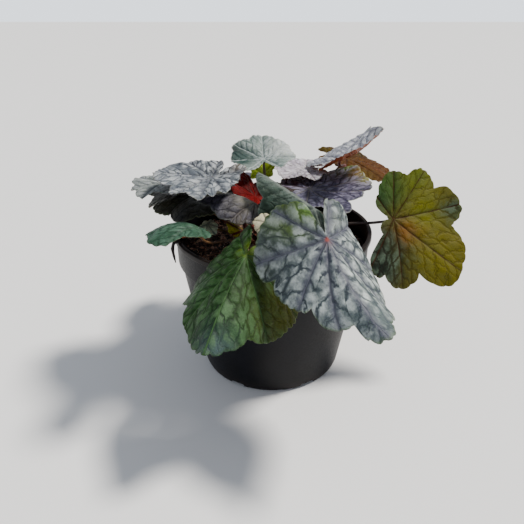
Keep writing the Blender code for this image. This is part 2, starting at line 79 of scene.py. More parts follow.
def placeObject(name, data):
    made = bpy.data.objects.new(name, data)
    bpy.context.scene.collection.objects.link(made)
    return made


def addPiece(name, points, faces, surface, nodes=(), fields=None):
    # a mesh piece from points in mm; fields are values at each point that its surface reads
    mesh = bpy.data.meshes.new(name)
    mesh.from_pydata((np.asarray(points, float) * mm).tolist(), [], faces)
    mesh.update()
    mesh.shade_smooth()
    for key, values in (fields or {}).items():
        values = np.asarray(values, np.float32)
        kind, entry = {1: ("FLOAT", "value"), 2: ("FLOAT_VECTOR", "vector")}[values.ndim]
        mesh.attributes.new(key, kind, "POINT").data.foreach_set(entry, values.ravel())
    mesh.materials.append(surface)
    piece = placeObject(name, mesh)
    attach(piece, "root")
    if nodes:
        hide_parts(*nodes)
    return piece


# Camera, light and floor
studio = dict(
    eye=(-7.0, -340.6, 250.3), aim=(-7.0, 0.0, 73.0), lens=38.47, sensor=36.0, nearest=10.0,
    farthest=20000.0,
    floorSize=6000.0, floorDrop=0.2, floorColour=(238, 238, 240), floorRoughness=0.6,
    skyColour=(225, 232, 240), skyStrength=0.55, backdropStrength=2.2,
    # name, way towards the light, strength, spread in degrees and colour
    suns=(
        ("keySun", (0.5, 0.1, 0.8), 5.4, 12.0, (255, 250, 240)),
        ("fillSun", (-0.4, -0.8, 0.5), 0.3, 60.0, (226, 236, 255)),
    ))


def makeStudio():
    lens = bpy.data.cameras.new("camera")
    lens.lens = studio["lens"]
    lens.sensor_width = studio["sensor"]
    lens.clip_start = studio["nearest"] * mm
    lens.clip_end = studio["farthest"] * mm
    camera = placeObject("camera", lens)
    eye, aim = Vector(studio["eye"]) * mm, Vector(studio["aim"]) * mm
    camera.location = eye
    camera.rotation_euler = (aim - eye).to_track_quat("-Z", "Y").to_euler()
    bpy.context.scene.camera = camera

    for name, way, strength, spread, colour in studio["suns"]:
        light = bpy.data.lights.new(name, "SUN")
        light.energy = strength
        light.angle = math.radians(spread)
        light.color = truePaint(colour)
        lamp = placeObject(name, light)
        lamp.location = Vector(way)
        lamp.rotation_euler = Vector(way).to_track_quat("Z", "Y").to_euler()

    # the sky lights the plant softly and shows brighter to the camera
    world = bpy.data.worlds.new("softSky")
    world.use_nodes = True
    tree = world.node_tree
    sky = tree.nodes["Background"]
    sky.inputs["Color"].default_value = (*truePaint(studio["skyColour"]), 1)
    sight = tree.nodes.new("ShaderNodeLightPath")
    strength = tree.nodes.new("ShaderNodeMapRange")
    strength.inputs["To Min"].default_value = studio["skyStrength"]
    strength.inputs["To Max"].default_value = studio["backdropStrength"]
    tree.links.new(sight.outputs["Is Camera Ray"], strength.inputs["Value"])
    tree.links.new(strength.outputs["Result"], sky.inputs["Strength"])
    bpy.context.scene.world = world

    half = studio["floorSize"] / 2 * mm
    mesh = bpy.data.meshes.new("floor")
    corners = [(-half, -half, 0), (half, -half, 0), (half, half, 0), (-half, half, 0)]
    mesh.from_pydata(corners, [], [(0, 1, 2, 3)])
    surface = bpy.data.materials.new("paleFloor")
    surface.use_nodes = True
    shader = surface.node_tree.nodes["Principled BSDF"]
    shader.inputs["Base Color"].default_value = (*truePaint(studio["floorColour"]), 1)
    shader.inputs["Roughness"].default_value = studio["floorRoughness"]
    mesh.materials.append(surface)
    floor = placeObject("floor", mesh)
    floor.location.z = -studio["floorDrop"] * mm


makeStudio()
print("studio ready")


# Helpers for shader nodes
def fill(tree, node, inputs):
    # links sockets and sets plain values
    for key, value in inputs.items():
        if isinstance(value, bpy.types.NodeSocket):
            tree.links.new(value, node.inputs[key])
        else:
            node.inputs[key].default_value = value
    return node


def addNode(tree, kind, inputs, **settings):
    made = tree.nodes.new(kind)
    for key, value in settings.items():
        setattr(made, key, value)
    return fill(tree, made, inputs)


def mathNode(tree, operation, *inputs):
    return addNode(tree, "ShaderNodeMath", dict(enumerate(inputs)), operation=operation).outputs[0]


def times(tree, first, second):
    return mathNode(tree, "MULTIPLY", first, second)


def scaled(tree, value, factor, base):
    # value times factor, plus base
    return mathNode(tree, "MULTIPLY_ADD", value, factor, base)


def ramp(tree, value, fromLow, fromHigh, toLow=0.0, toHigh=1.0):
    made = addNode(tree, "ShaderNodeMapRange", {
        "Value": value, "From Min": fromLow, "From Max": fromHigh, "To Min": toLow, "To Max": toHigh,
    }, interpolation_type="SMOOTHSTEP")
    return made.outputs["Result"]


def blendColour(tree, factor, first, second, way="MIX"):
    # the node's colour sockets are 6 and 7 in, 2 out
    inputs = {0: factor}
    for key, value in ((6, first), (7, second)):
        inputs[key] = value if isinstance(value, bpy.types.NodeSocket) else (*value, 1)
    return addNode(tree, "ShaderNodeMix", inputs, data_type="RGBA", blend_type=way).outputs[2]


def readField(tree, name, output="Fac"):
    return addNode(tree, "ShaderNodeAttribute", {}, attribute_name=name).outputs[output]


def noiseNode(tree, place, scale, detail, roughness=0.5):
    inputs = {"Vector": place, "Scale": scale, "Detail": detail, "Roughness": roughness}
    return addNode(tree, "ShaderNodeTexNoise", inputs).outputs["Fac"]


def bumpNormal(tree, height, strength, distance):
    inputs = {"Height": height, "Strength": strength, "Distance": distance * mm}
    return addNode(tree, "ShaderNodeBump", inputs).outputs["Normal"]


def startGroup(name, place, values, masks):
    # a shared effect: a place and plain values in, masks out
    group = bpy.data.node_groups.new(name, "ShaderNodeTree")
    group.interface.new_socket(place, in_out="INPUT", socket_type="NodeSocketVector")
    for way, labels in (("INPUT", values), ("OUTPUT", masks)):
        for label in labels:
            group.interface.new_socket(label, in_out=way, socket_type="NodeSocketFloat")
    return group, group.nodes.new("NodeGroupInput").outputs, group.nodes.new("NodeGroupOutput")


def placeGroup(tree, group, inputs):
    made = tree.nodes.new("ShaderNodeGroup")
    made.node_tree = group
    return fill(tree, made, inputs).outputs


def newSurface(name):
    surface = bpy.data.materials.new(name)
    surface.use_nodes = True
    tree = surface.node_tree
    return surface, tree, tree.nodes["Principled BSDF"]


# How veins wander and cells form between them: noise scales are per mm, shares are of a cell
veinForm = dict(
    swayScale=0.2, jitterScale=0.7, detail=2.0, mainSway=1.1, haloJitter=4.0, sideSway=0.9, sideJitter=0.25,
    sideFade=(0.55, 0.95), rowJitter=1.6, firstCell=0.8, looseness=0.7, netWidth=0.075, pillow=(0.02, 0.2))


def makeVeinGroup():
    # masks of main veins, side veins and the cells between them; phase counts the side veins
    form = veinForm
    group, given, result = startGroup(
        "leafVeins", "Flat", ("Across", "Phase", "Wedge", "Main Width", "Halo Width", "Side Width", "Cell"),
        ("Main", "Halo", "Side", "Net", "Pillow"))
    sway, jitter = (mathNode(group, "SUBTRACT", noiseNode(group, given["Flat"], scale, form["detail"]), 0.5)
                    for scale in (form["swayScale"], form["jitterScale"]))
    across = mathNode(group, "ABSOLUTE", scaled(group, sway, form["mainSway"], given["Across"]))
    haloAway = scaled(group, jitter, form["haloJitter"], given["Across"])
    phase = scaled(group, jitter, form["sideJitter"], scaled(group, sway, form["sideSway"], given["Phase"]))
    side = ramp(group, mathNode(group, "PINGPONG", phase, 0.5), 0.0, given["Side Width"], 1.0, 0.0)
    # the rows of cells follow the side veins
    row = scaled(group, jitter, form["rowJitter"], given["Across"])
    row = mathNode(group, "DIVIDE", row, given["Cell"])
    seed = addNode(group, "ShaderNodeSeparateXYZ", {"Vector": given["Flat"]}).outputs["Z"]
    place = addNode(group, "ShaderNodeCombineXYZ", {
        "X": mathNode(group, "ADD", phase, form["firstCell"]),
        "Y": mathNode(group, "ADD", row, seed), "Z": seed})
    cells = addNode(
        group, "ShaderNodeTexVoronoi",
        {"Vector": place.outputs[0], "Scale": 1.0, "Randomness": form["looseness"]},
        feature="DISTANCE_TO_EDGE", voronoi_dimensions="2D").outputs["Distance"]
    fill(group, result, {
        "Main": ramp(group, across, 0.0, given["Main Width"], 1.0, 0.0),
        "Halo": ramp(group, haloAway, 0.0, given["Halo Width"], 1.0, 0.0),
        "Side": times(group, side, ramp(group, given["Wedge"], *form["sideFade"], 1.0, 0.0)),
        "Net": ramp(group, cells, 0.0, form["netWidth"], 1.0, 0.0),
        "Pillow": ramp(group, cells, *form["pillow"])})
    return group


def makeMottleGroup():
    # soft blotches and fine grain, for leaves, stalks, plastic and soil alike
    group, given, result = startGroup(
        "mottle", "Vector", ("Blotch Scale", "Grain Scale", "Seed"), ("Blotch", "Grain"))
    place = addNode(group, "ShaderNodeVectorMath", {0: given["Vector"], 1: given["Seed"]}, operation="ADD")
    blotch = noiseNode(group, place.outputs[0], given["Blotch Scale"], 3.0, 0.55)
    grain = noiseNode(group, place.outputs[0], given["Grain Scale"], 4.0, 0.6)
    fill(group, result, {
        "Blotch": ramp(group, blotch, 0.32, 0.68), "Grain": ramp(group, grain, 0.25, 0.75)})
    return group


veinGroup = makeVeinGroup()
mottleGroup = makeMottleGroup()
print("shader groups ready")


def mottledPlace(tree, blotchScale, grainScale, seed):
    # the mottle masks over a whole piece, with the place they are read at
    place = addNode(tree, "ShaderNodeTexCoord", {}).outputs["Object"]
    return place, placeGroup(tree, mottleGroup, {
        "Vector": place, "Blotch Scale": blotchScale, "Grain Scale": grainScale, "Seed": seed})


# Closed round skins
def turnedSkin(rows, sides, bottom, top):
    # a skin from rings of points between two middle points
    points = np.vstack([np.asarray(rows).reshape(-1, 3), [bottom], [top]])
    grid = np.arange(len(rows) * sides).reshape(len(rows), sides)
    after = np.roll(grid, -1, axis=1)
    faces = np.stack([grid[:-1], after[:-1], after[1:], grid[1:]], axis=-1).reshape(-1, 4).tolist()
    first = len(rows) * sides
    faces += [(first, b, a) for a, b in zip(grid[0].tolist(), after[0].tolist())]
    faces += [(first + 1, a, b) for a, b in zip(grid[-1].tolist(), after[-1].tolist())]
    return points, faces


def ringPoints(radius, height, turn):
    return np.column_stack([radius * np.cos(turn), radius * np.sin(turn), height + 0 * turn])


def tubeMesh(path, radii, sides):
    # a closed round bar along a path
    ways = np.gradient(path, axis=0)
    ways /= np.linalg.norm(ways, axis=1)[:, None]
    upright = abs(ways[0][2]) >= 0.9
    side = np.cross(ways[0], (1.0, 0, 0) if upright else (0.3, 0.2, 1.0))
    turns = np.arange(sides) * 2 * math.pi / sides
    rows = []
    for place, way, radius in zip(path, ways, radii):
        side = side - side.dot(way) * way
        side = side / np.linalg.norm(side)
        other = np.cross(way, side)
        rows.append(place + radius * (np.cos(turns)[:, None] * side + np.sin(turns)[:, None] * other))
    return turnedSkin(rows, sides, path[0], path[-1])


def joinBits(name, bits, surface):
    # one piece of many closed bits; each bit is its points, faces and tone
    starts = np.cumsum([0] + [len(points) for points, _, _ in bits]).tolist()
    faces = [tuple(start + index for index in face) for start, bit in zip(starts, bits) for face in bit[1]]
    tones = np.concatenate([np.full(len(points), tone) for points, _, tone in bits])
    points = np.vstack([bit[0] for bit in bits])
    return addPiece(name, points, faces, surface, (), dict(tone=tones))


# Leaf outline and bend, the same rules as the solids underneath
bladeForm = dict(
    thickness=0.46, sinusReach=0.07, valleyCut=0.15, endLobe=23, endReach=0.3, hubRadius=2.1,
    sinusRadius=2.9, toothWidth=5.6, toothDepth=0.024, toothShape=0.55, fewestTeeth=14, rimThin=0.55,
    rimShare=14, rollSpan=1.3, droopSpan=1.4)
sevenVeins = (-145, -99, -50, 0, 50, 99, 145)
fiveVeins = (-100, -50, 0, 50, 100)


def lobedEdge(tips, cut=bladeForm["valleyCut"]):
    # rows of angle and reach for round lobes with valleys between
    beyond, low = bladeForm["endLobe"], bladeForm["endReach"]
    rows = [(tips[0][0] - beyond, low)]
    for here, after in zip(tips, tips[1:]):
        rows.append(here)
        rows.append((0.5 * (here[0] + after[0]), (1 - cut) * 0.5 * (here[1] + after[1])))
    return rows + [tips[-1], (tips[-1][0] + beyond, low)]


sevenLobes = lobedEdge([
    (-145, 0.7), (-99, 0.86), (-50, 0.95), (0, 1.0), (50, 0.95), (99, 0.86), (145, 0.7)])
lopsidedLobes = lobedEdge([
    (-140, 0.45), (-95, 0.5), (-48, 0.7), (0, 0.97), (44, 0.84), (92, 0.8), (138, 0.6)])
spindleLobes = lobedEdge([
    (-128, 0.32), (-95, 0.38), (-62, 0.54), (-28, 0.8), (0, 0.97), (28, 0.8), (62, 0.56), (95, 0.4),
    (128, 0.32)], 0.08)
fiveLobes = lobedEdge([(-100, 0.75), (-50, 0.95), (0, 1.0), (50, 0.95), (100, 0.75)])


# What a leaf has unless its own dictionary says otherwise. Joint is the top of its stalk; heading, pitch
# and roll point its blade; across, creases, droop and back bend it; root is the stalk's turn and radius in
# the crown and via the places it passes; edge holds rows of angle and reach, as shares of the size.
plainLeaf = dict(
    edge=sevenLobes, veins=sevenVeins, cell=1.15, back=10, via=(), arrive=60, stalkScale=1.0, solid=True,
    quilt=0.5, spacing=0.16, mottled=0.8, silverSpots=(), spots=(), depth=0.55, shine=0.48, gloss=0.3,
    mainWidth=0.9, mainVein=(92, 96, 96), mainStrength=0.6, sideWidth=0.07, netCell=7.0, netStrength=0.75,
    veinStrength=0.8, veinLocal=0.0, halo=None, haloWidth=4.0, haloStrength=0.3, rim=(150, 160, 130),
    rimStrength=0.25, dot=(120, 130, 60), dotStrength=0.0)


def edgeReach(leaf, degrees):
    # eased from each row of the edge to the next, sharp in valleys and round at tips
    degrees = (degrees + 180.0) % 360.0 - 180.0
    sinus = bladeForm["sinusReach"]
    angles = np.array([-180.0] + [row[0] for row in leaf["edge"]] + [180.0])
    reaches = np.array([sinus] + [row[1] for row in leaf["edge"]] + [sinus])
    i = np.clip(np.searchsorted(angles, degrees, side="right") - 1, 0, len(angles) - 2)
    part = np.clip((degrees - angles[i]) / (angles[i + 1] - angles[i]), 0, 1)
    low, high = np.minimum(reaches[i], reaches[i + 1]), np.maximum(reaches[i], reaches[i + 1])
    rising = np.where(reaches[i + 1] >= reaches[i], part, 1 - part)
    return low + (high - low) * np.sin(rising * math.pi / 2) ** 0.9


def toothedReach(leaf, degrees):
    # the reach with round teeth along the margin, fewer on a small leaf
    form = bladeForm
    count = max(form["fewestTeeth"], round(2 * math.pi * leaf["size"] * 0.9 / form["toothWidth"]))
    turn = np.radians(degrees)
    shifted = turn + 0.06 * np.sin(3 * turn + leaf["size"]) + 0.03 * np.sin(7 * turn)
    tooth = 1 - np.abs(np.sin(shifted * count / 2)) ** form["toothShape"]
    size = 1 + 0.45 * np.sin(5 * turn + leaf["size"])
    reach = edgeReach(leaf, degrees) * (1 - form["toothDepth"] * tooth * size)
    return np.maximum(reach, form["sinusRadius"] / leaf["size"])


def rolled(along, height, rate, crease, span):
    # rolls a flat strip down about its start: a crease first, then an even bend up to span
    rate = math.radians(rate) or 1e-5
    crease = math.radians(crease)
    bent = np.minimum(np.abs(along), span)
    turn = crease + rate * bent
    straight = np.abs(along) - bent
    out = (np.sin(turn) - math.sin(crease)) / rate + straight * np.cos(turn) + height * np.sin(turn)
    up = (np.cos(turn) - math.cos(crease)) / rate - straight * np.sin(turn) + height * np.cos(turn)
    return np.sign(along) * np.maximum(out, 0.25 * bent), up


def leafAxes(leaf):
    heading, pitch, roll = (math.radians(leaf[key]) for key in ("heading", "pitch", "roll"))
    way = np.array([math.cos(heading), math.sin(heading), 0.0])
    midrib = math.cos(pitch) * way + np.array([0.0, 0.0, math.sin(pitch)])
    level = np.array([-math.sin(heading), math.cos(heading), 0.0])
    normal = np.cross(midrib, level)
    left = math.cos(roll) * level + math.sin(roll) * normal
    return midrib, left, math.cos(roll) * normal - math.sin(roll) * level


def veinFields(leaf, degrees, radius):
    # across: mm to the nearest main vein; phase: whole numbers on side veins; wedge: 1 midway between veins
    veins = np.array(leaf["veins"], float)
    nearest = np.argmin(np.abs(degrees[..., None] - veins), axis=-1)
    offset = degrees - veins[nearest]
    beside = np.where(offset > 0, np.minimum(nearest + 1, len(veins) - 1), np.maximum(nearest - 1, 0))
    gap = np.abs(veins[beside] - veins[nearest])
    wedge = np.clip(np.abs(offset) / np.where(gap > 0, gap / 2, 35.0), 0, 1)
    across = radius * np.sin(np.radians(np.minimum(np.abs(offset), 80)))
    spacing = leaf["spacing"] * leaf["size"]
    phase = (radius - 0.95 * across) / spacing + np.where(offset > 0, 0.0, 0.5)
    return across, phase, wedge


# Relief of a blade; wrinkles are height as a share of the quilting, scale and seed
reliefForm = dict(
    puff=0.05, puffSpread=26.0, puffEase=1.2, wave=0.03, waves=6, quiltEase=0.8, midQuilt=0.62, midFrom=0.7,
    slope=2.4, quiltStart=(2.0, 9.0),
    veinDip=0.42, veinHalf=0.85, veinStart=(2.0, 6.0), wrinkles=((0.32, 3.1, 0), (0.2, 1.7, 4)),
    ruffle=0.9, ruffleScale=8.0, ruffleSeed=9, ruffleStart=(0.6, 1.1))


def bladeHeight(leaf, x, y, degrees, radius, across, phase, wedge):
    # the solid's puffs and waves, with quilting, sunk veins and fine wrinkles on top, as a share of size
    form, size = reliefForm, leaf["size"]
    reach = np.hypot(x, y)
    fromVein = np.min([np.abs(degrees - vein) for vein in leaf["veins"]], axis=0)
    away = np.clip(fromVein / form["puffSpread"], 0, 1)
    puff = form["puff"] * np.sin(away * math.pi / 2) ** form["puffEase"]
    wave = form["wave"] * np.sin(np.radians(degrees) * form["waves"])
    height = puff * np.clip(reach, 0, 1.2) * (1.25 - reach) + wave * np.clip(reach, 0, 1.3) ** 2.5
    ping = np.abs(phase - np.round(phase)) * 2
    quilt = np.sin(np.clip(ping, 0, 1) * math.pi / 2) ** form["quiltEase"]
    midway = smooth(form["midFrom"], 1.0, wedge)
    quilt = quilt * (1 - midway) + form["midQuilt"] * midway
    body = (1 - np.exp(-across / form["slope"])) * smooth(*form["quiltStart"], radius)
    fine = leaf["quilt"] * quilt * body
    dip = np.exp(-(across / form["veinHalf"]) ** 2) * smooth(*form["veinStart"], radius)
    fine = fine - form["veinDip"] * dip
    px, py = radius * np.cos(np.radians(degrees)), radius * np.sin(np.radians(degrees))
    for share, scale, seed in form["wrinkles"]:
        fine = fine + leaf["quilt"] * share * softNoise(px, py, scale, size + seed)
    ruffle = softNoise(px, py, form["ruffleScale"], size + form["ruffleSeed"])
    return height + (fine + form["ruffle"] * ruffle * smooth(*form["ruffleStart"], reach)) / size


def bladeSpokes(leaf):
    # even spokes that also pass through each row of the edge, each main vein and the sinus
    keys = sorted({float(key) for key in (*(row[0] for row in leaf["edge"]), *leaf["veins"], 180)})
    keys.append(keys[0] + 360.0)
    step = math.degrees(leaf["cell"] / leaf["size"])
    spokes = []
    for here, after in zip(keys, keys[1:]):
        count = max(1, round((after - here) / step))
        spokes += [here + (after - here) * k / count for k in range(count)]
    return (np.array(spokes) + 180.0) % 360.0 - 180.0


def spotAway(leaf, degrees, reach, px, py):
    # mm from a place on the flat blade
    turn = math.radians(degrees)
    return np.hypot(px - reach * leaf["size"] * math.cos(turn), py - reach * leaf["size"] * math.sin(turn))


def leafTint(leaf, px, py):
    # base colour with soft spots of other colours; on some leaves spots paint shade, highlights or the glow
    # of sun through the blade; each spot is (degrees, reach, spread, colour)
    tint = np.tile(np.array(paint(*leaf["base"])), (len(px), 1))
    for degrees, reach, spread, colour in leaf["spots"]:
        away = spotAway(leaf, degrees, reach, px, py) + 1.8 * softNoise(px, py, 6.0, spread)
        weight = np.exp(-(away / spread) ** 2)[:, None]
        tint = tint * (1 - weight) + np.array(paint(*colour)) * weight
    return tint


def silverShare(leaf, px, py):
    # how much of the blade turns silver: the leaf's own share, changed in soft spots; some spots take the
    # silver away under painted shade
    share = np.full(len(px), float(leaf["mottled"]))
    for degrees, reach, spread, change in leaf["silverSpots"]:
        share += change * np.exp(-(spotAway(leaf, degrees, reach, px, py) / spread) ** 2)
    return np.clip(share, 0, 1)


def makeBlade(leaf, surface):
    # a closed thin blade: upper side, lower side and a thinned rim
    form, size = bladeForm, leaf["size"]
    degrees = bladeSpokes(leaf)
    count = len(degrees)
    rings = max(8, round(size / leaf["cell"]))
    share = np.linspace(0, 1, rings)[:, None]
    reach = toothedReach(leaf, degrees)[None] * share + form["hubRadius"] / size * (1 - share)
    turn = np.radians(np.broadcast_to(degrees, reach.shape))
    # the middle point comes last
    angle = (np.degrees(turn) + 180.0) % 360.0 - 180.0
    shares = np.broadcast_to(share, reach.shape)
    x, y, angle, radius, shares = (np.append(values, 0.0) for values in (
        reach * np.cos(turn), reach * np.sin(turn), angle, reach * size, shares))
    across, phase, wedge = veinFields(leaf, angle, radius)
    height = bladeHeight(leaf, x, y, angle, radius, across, phase, wedge)
    thin = form["thickness"] / 2 * (1 - form["rimThin"] * shares ** form["rimShare"]) / size
    midrib, left, normal = leafAxes(leaf)
    sides = []
    for lift in (thin, -thin):
        leftSide, rightSide = (rolled(y, height + lift, rate, crease, form["rollSpan"])
                               for rate, crease in zip(leaf["across"], leaf["creases"]))
        flatY, z = (np.where(y >= 0, *pair) for pair in zip(leftSide, rightSide))
        tip, base = (rolled(x, z, leaf[key], 0.0, form["droopSpan"]) for key in ("droop", "back"))
        flatX, z = (np.where(x >= 0, *pair) for pair in zip(tip, base))
        local = flatX[:, None] * midrib + flatY[:, None] * left + z[:, None] * normal
        sides.append(np.array(leaf["joint"], float) + size * local)
    grid = np.arange(rings * count).reshape(rings, count)
    after = np.roll(grid, -1, axis=1)
    upper = np.stack([grid[:-1], grid[1:], after[1:], after[:-1]], axis=-1).reshape(-1, 4)
    below = len(x)
    rim = np.stack([grid[-1], grid[-1] + below, after[-1] + below, after[-1]], axis=-1)
    middle = rings * count
    inmost = list(zip(grid[0].tolist(), after[0].tolist()))
    faces = upper.tolist() + (upper[:, ::-1] + below).tolist() + rim.tolist()
    faces += [(middle, a, b) for a, b in inmost]
    faces += [(middle + below, b + below, a + below) for a, b in inmost]
    px, py = x * size, y * size
    fields = dict(
        tint=leafTint(leaf, px, py), silverShare=silverShare(leaf, px, py), across=across, phase=phase,
        flatPlace=np.column_stack([px, py, np.full(len(px), size)]), wedge=wedge, margin=shares)
    fields = {key: np.concatenate([values, values]) for key, values in fields.items()}
    fields["under"] = np.repeat([0.0, 1.0], len(px))
    nodes = (leaf["name"],) if leaf["solid"] else ()
    addPiece(leaf["name"] + "_blade", np.vstack(sides), faces, surface, nodes, fields)


# A leaf's skin: shares of colour and height, and the depth to which light enters
skinForm = dict(
    blotchScale=0.16, grainScale=1.6, sideStrength=0.85, grainInVein=0.3, localVein=(0.35, 0.35, 0.35),
    mainEdge=(0.35, 0.9), dotEdge=(0.4, 2.1), rimEdge=(0.955, 1.0), shadeGrain=0.22, backVein=0.6,
    roughGrain=0.16, pillowHeight=0.5, grainHeight=0.3, veinHeight=0.35, bump=0.85, bumpDistance=0.4,
    softWeight=0.08, softRadius=(0.0012, 0.0016, 0.0006), softScale=0.6)


def leafSurface(leaf):
    form = skinForm
    surface, tree, shader = newSurface(leaf["name"] + "_skin")
    flat = readField(tree, "flatPlace", "Vector")
    veins = placeGroup(tree, veinGroup, {
        "Flat": flat, "Across": readField(tree, "across"), "Phase": readField(tree, "phase"),
        "Wedge": readField(tree, "wedge"), "Main Width": leaf["mainWidth"], "Halo Width": leaf["haloWidth"],
        "Side Width": leaf["sideWidth"], "Cell": leaf["netCell"]})
    mottle = placeGroup(tree, mottleGroup, {
        "Vector": flat, "Blotch Scale": form["blotchScale"], "Grain Scale": form["grainScale"],
        "Seed": float(leaf["size"])})
    tint = readField(tree, "tint", "Color")
    sideMask = times(tree, veins["Side"], form["sideStrength"])
    broadVein = mathNode(tree, "MAXIMUM", veins["Main"], sideMask)
    netMask = times(tree, veins["Net"], leaf["netStrength"])
    grainy = scaled(tree, mottle["Grain"], form["grainInVein"], 1 - form["grainInVein"])
    veinMask = times(tree, mathNode(tree, "MAXIMUM", broadVein, netMask), grainy)
    veinMask = times(tree, veinMask, leaf["veinStrength"])
    localVein = blendColour(tree, 1.0, tint, form["localVein"], "MULTIPLY")
    joint = (0.0, 0.0, leaf["size"])
    fromJoint = addNode(tree, "ShaderNodeVectorMath", {0: flat, 1: joint}, operation="DISTANCE")
    nearJoint = ramp(tree, fromJoint.outputs["Value"], *form["dotEdge"], leaf["dotStrength"], 0.0)
    # layers of the upper side from the tint up: mask, then colour
    layers = (
        (times(tree, times(tree, mottle["Blotch"], veins["Pillow"]), readField(tree, "silverShare")),
         paint(*leaf["silver"])),
        (times(tree, veins["Halo"], leaf["haloStrength"]), paint(*(leaf["halo"] or leaf["vein"]))),
        (veinMask, blendColour(tree, leaf["veinLocal"], paint(*leaf["vein"]), localVein)),
        (ramp(tree, veins["Main"], *form["mainEdge"], 0.0, leaf["mainStrength"]), paint(*leaf["mainVein"])),
        (nearJoint, paint(*leaf["dot"])),
        (times(tree, ramp(tree, readField(tree, "margin"), *form["rimEdge"]), leaf["rimStrength"]),
         paint(*leaf["rim"])))
    face = tint
    for mask, colour in layers:
        face = blendColour(tree, mask, face, colour)
    back = times(tree, broadVein, form["backVein"])
    back = blendColour(tree, back, paint(*leaf["under"]), paint(*leaf["underVein"]))
    colour = blendColour(tree, readField(tree, "under"), face, back)
    # depth scales each blade's colour; on some leaves it is raised to paint in light or lowered to paint in
    # shade
    shade = scaled(tree, mottle["Grain"], form["shadeGrain"], leaf["depth"] - form["shadeGrain"] / 2)
    rough = scaled(tree, mottle["Grain"], form["roughGrain"], leaf["shine"] - form["roughGrain"] / 2)
    height = times(tree, mottle["Grain"], form["grainHeight"])
    height = scaled(tree, veins["Pillow"], form["pillowHeight"], height)
    height = mathNode(tree, "SUBTRACT", height, times(tree, veinMask, form["veinHeight"]))
    fill(tree, shader, {
        "Base Color": blendColour(tree, 1.0, colour, shade, "MULTIPLY"),
        "Roughness": rough, "Normal": bumpNormal(tree, height, form["bump"], form["bumpDistance"]),
        "Specular IOR Level": leaf["gloss"], "Subsurface Weight": form["softWeight"],
        "Subsurface Radius": form["softRadius"], "Subsurface Scale": form["softScale"]})
    return surface


# The pot: the turned profile of the solid, finer and rounder
potForm = dict(
    sides=216, rimRadius=65.0, height=100.0, lipHeight=3.5, lipWidth=1.4, collarHeight=20.0, collarStep=1.8,
    collarSlope=0.024, collarRound=0.7, baseRadius=48.3, wall=1.3, footCount=6, footGap=11.0, footRise=2.0,
    footInner=40.0, footOuter=45.5, footRamp=1.0, middleRing=12.0, underRing=26.0, underCorner=0.9,
    underRound=3.2, edgeRound=0.6, outerRows=(8.0, 12), innerRows=(60.0, 40.0, 20.0), drainCount=6,
    drainRadius=3.2, drainCircle=33.0, drainTurn=33.0, drainSides=28, cutterDepth=6.0, sharpAngle=38.0)


def evenTurns(sides):
    return np.arange(sides) * 2 * math.pi / sides


def potRadius(height):
    form = potForm
    low = form["baseRadius"]
    collarDrop = form["lipWidth"] + form["collarHeight"] * form["collarSlope"] + form["collarStep"]
    rise = form["height"] - form["collarHeight"] - form["underRound"]
    return low + (form["rimRadius"] - collarDrop - low) * (height - form["underRound"]) / rise


def arcRows(centre, radius, start, end, count=5):
    # points along a round corner, angles from +radius towards +height
    turns = np.radians(np.linspace(start, end, count))
    out, up = centre
    return [(out + radius * math.cos(turn), up + radius * math.sin(turn), 0.0) for turn in turns]


def potProfile():
    # rows of radius, height and how much the row rises between the feet
    form = potForm
    rim, top, wall, base = form["rimRadius"], form["height"], form["wall"], form["baseRadius"]
    corner, bend, rise = form["edgeRound"], form["collarRound"], form["footRise"]
    collarFoot, lipFoot = top - form["collarHeight"], top - form["lipHeight"]
    step = potRadius(collarFoot) + form["collarStep"]
    collarTop = rim - form["lipWidth"]
    # the underside with its feet
    rows = [(form[key], 0.0, 0.0) for key in ("middleRing", "underRing")]
    rows += [(form["footInner"] - rise, 0.0, 0.0)]
    rows += [(form["footInner"], 0.0, rise), (form["footOuter"], 0.0, rise)]
    rows += [(base - form["underCorner"], form["underCorner"], rise), (base, form["underRound"], 0.0)]
    # up the outside
    first, count = form["outerRows"]
    rows += [(potRadius(z), z, 0.0) for z in (5.0, *np.linspace(first, collarFoot - 2 * corner, count))]
    rows += arcRows((step - bend, collarFoot + corner), bend, -90, -5)
    low, high = collarFoot + corner, lipFoot - collarFoot - 2 * corner
    rows += [(step + (collarTop - step) * s, low + high * s, 0.0) for s in (0.3, 0.6, 1.0)]
    # around the lip and down the inside
    rows += arcRows((rim - corner, lipFoot + corner), corner, -80, 0)
    rows += arcRows((rim - corner, top - corner), corner, 0, 90)
    rows += arcRows((collarTop - wall + corner, top - corner), corner, 90, 180)
    rows += [(step - wall, collarFoot + wall + corner, 0.0)]
    rows += [(potRadius(collarFoot) - wall, collarFoot - wall, 0.0)]
    rows += [(potRadius(z) - wall, z, 0.0) for z in (*form["innerRows"], 2 * form["underRound"])]
    rows += [(base - form["underCorner"] - wall, wall + corner, rise), (form["footInner"], wall, rise)]
    return rows + [(form["footInner"] - rise - corner, wall, 0.0), (form["middleRing"], wall, 0.0)]


def footLift(turn):
    # 1 in the gaps between the feet, with short ramps; a foot faces the front
    half = 180.0 / potForm["footCount"]
    fromFoot = np.abs((np.degrees(turn) + 90.0 + half) % (2 * half) - half)
    edge = half - potForm["footGap"] / 2
    return smooth(edge - potForm["footRamp"], edge + potForm["footRamp"], fromFoot)


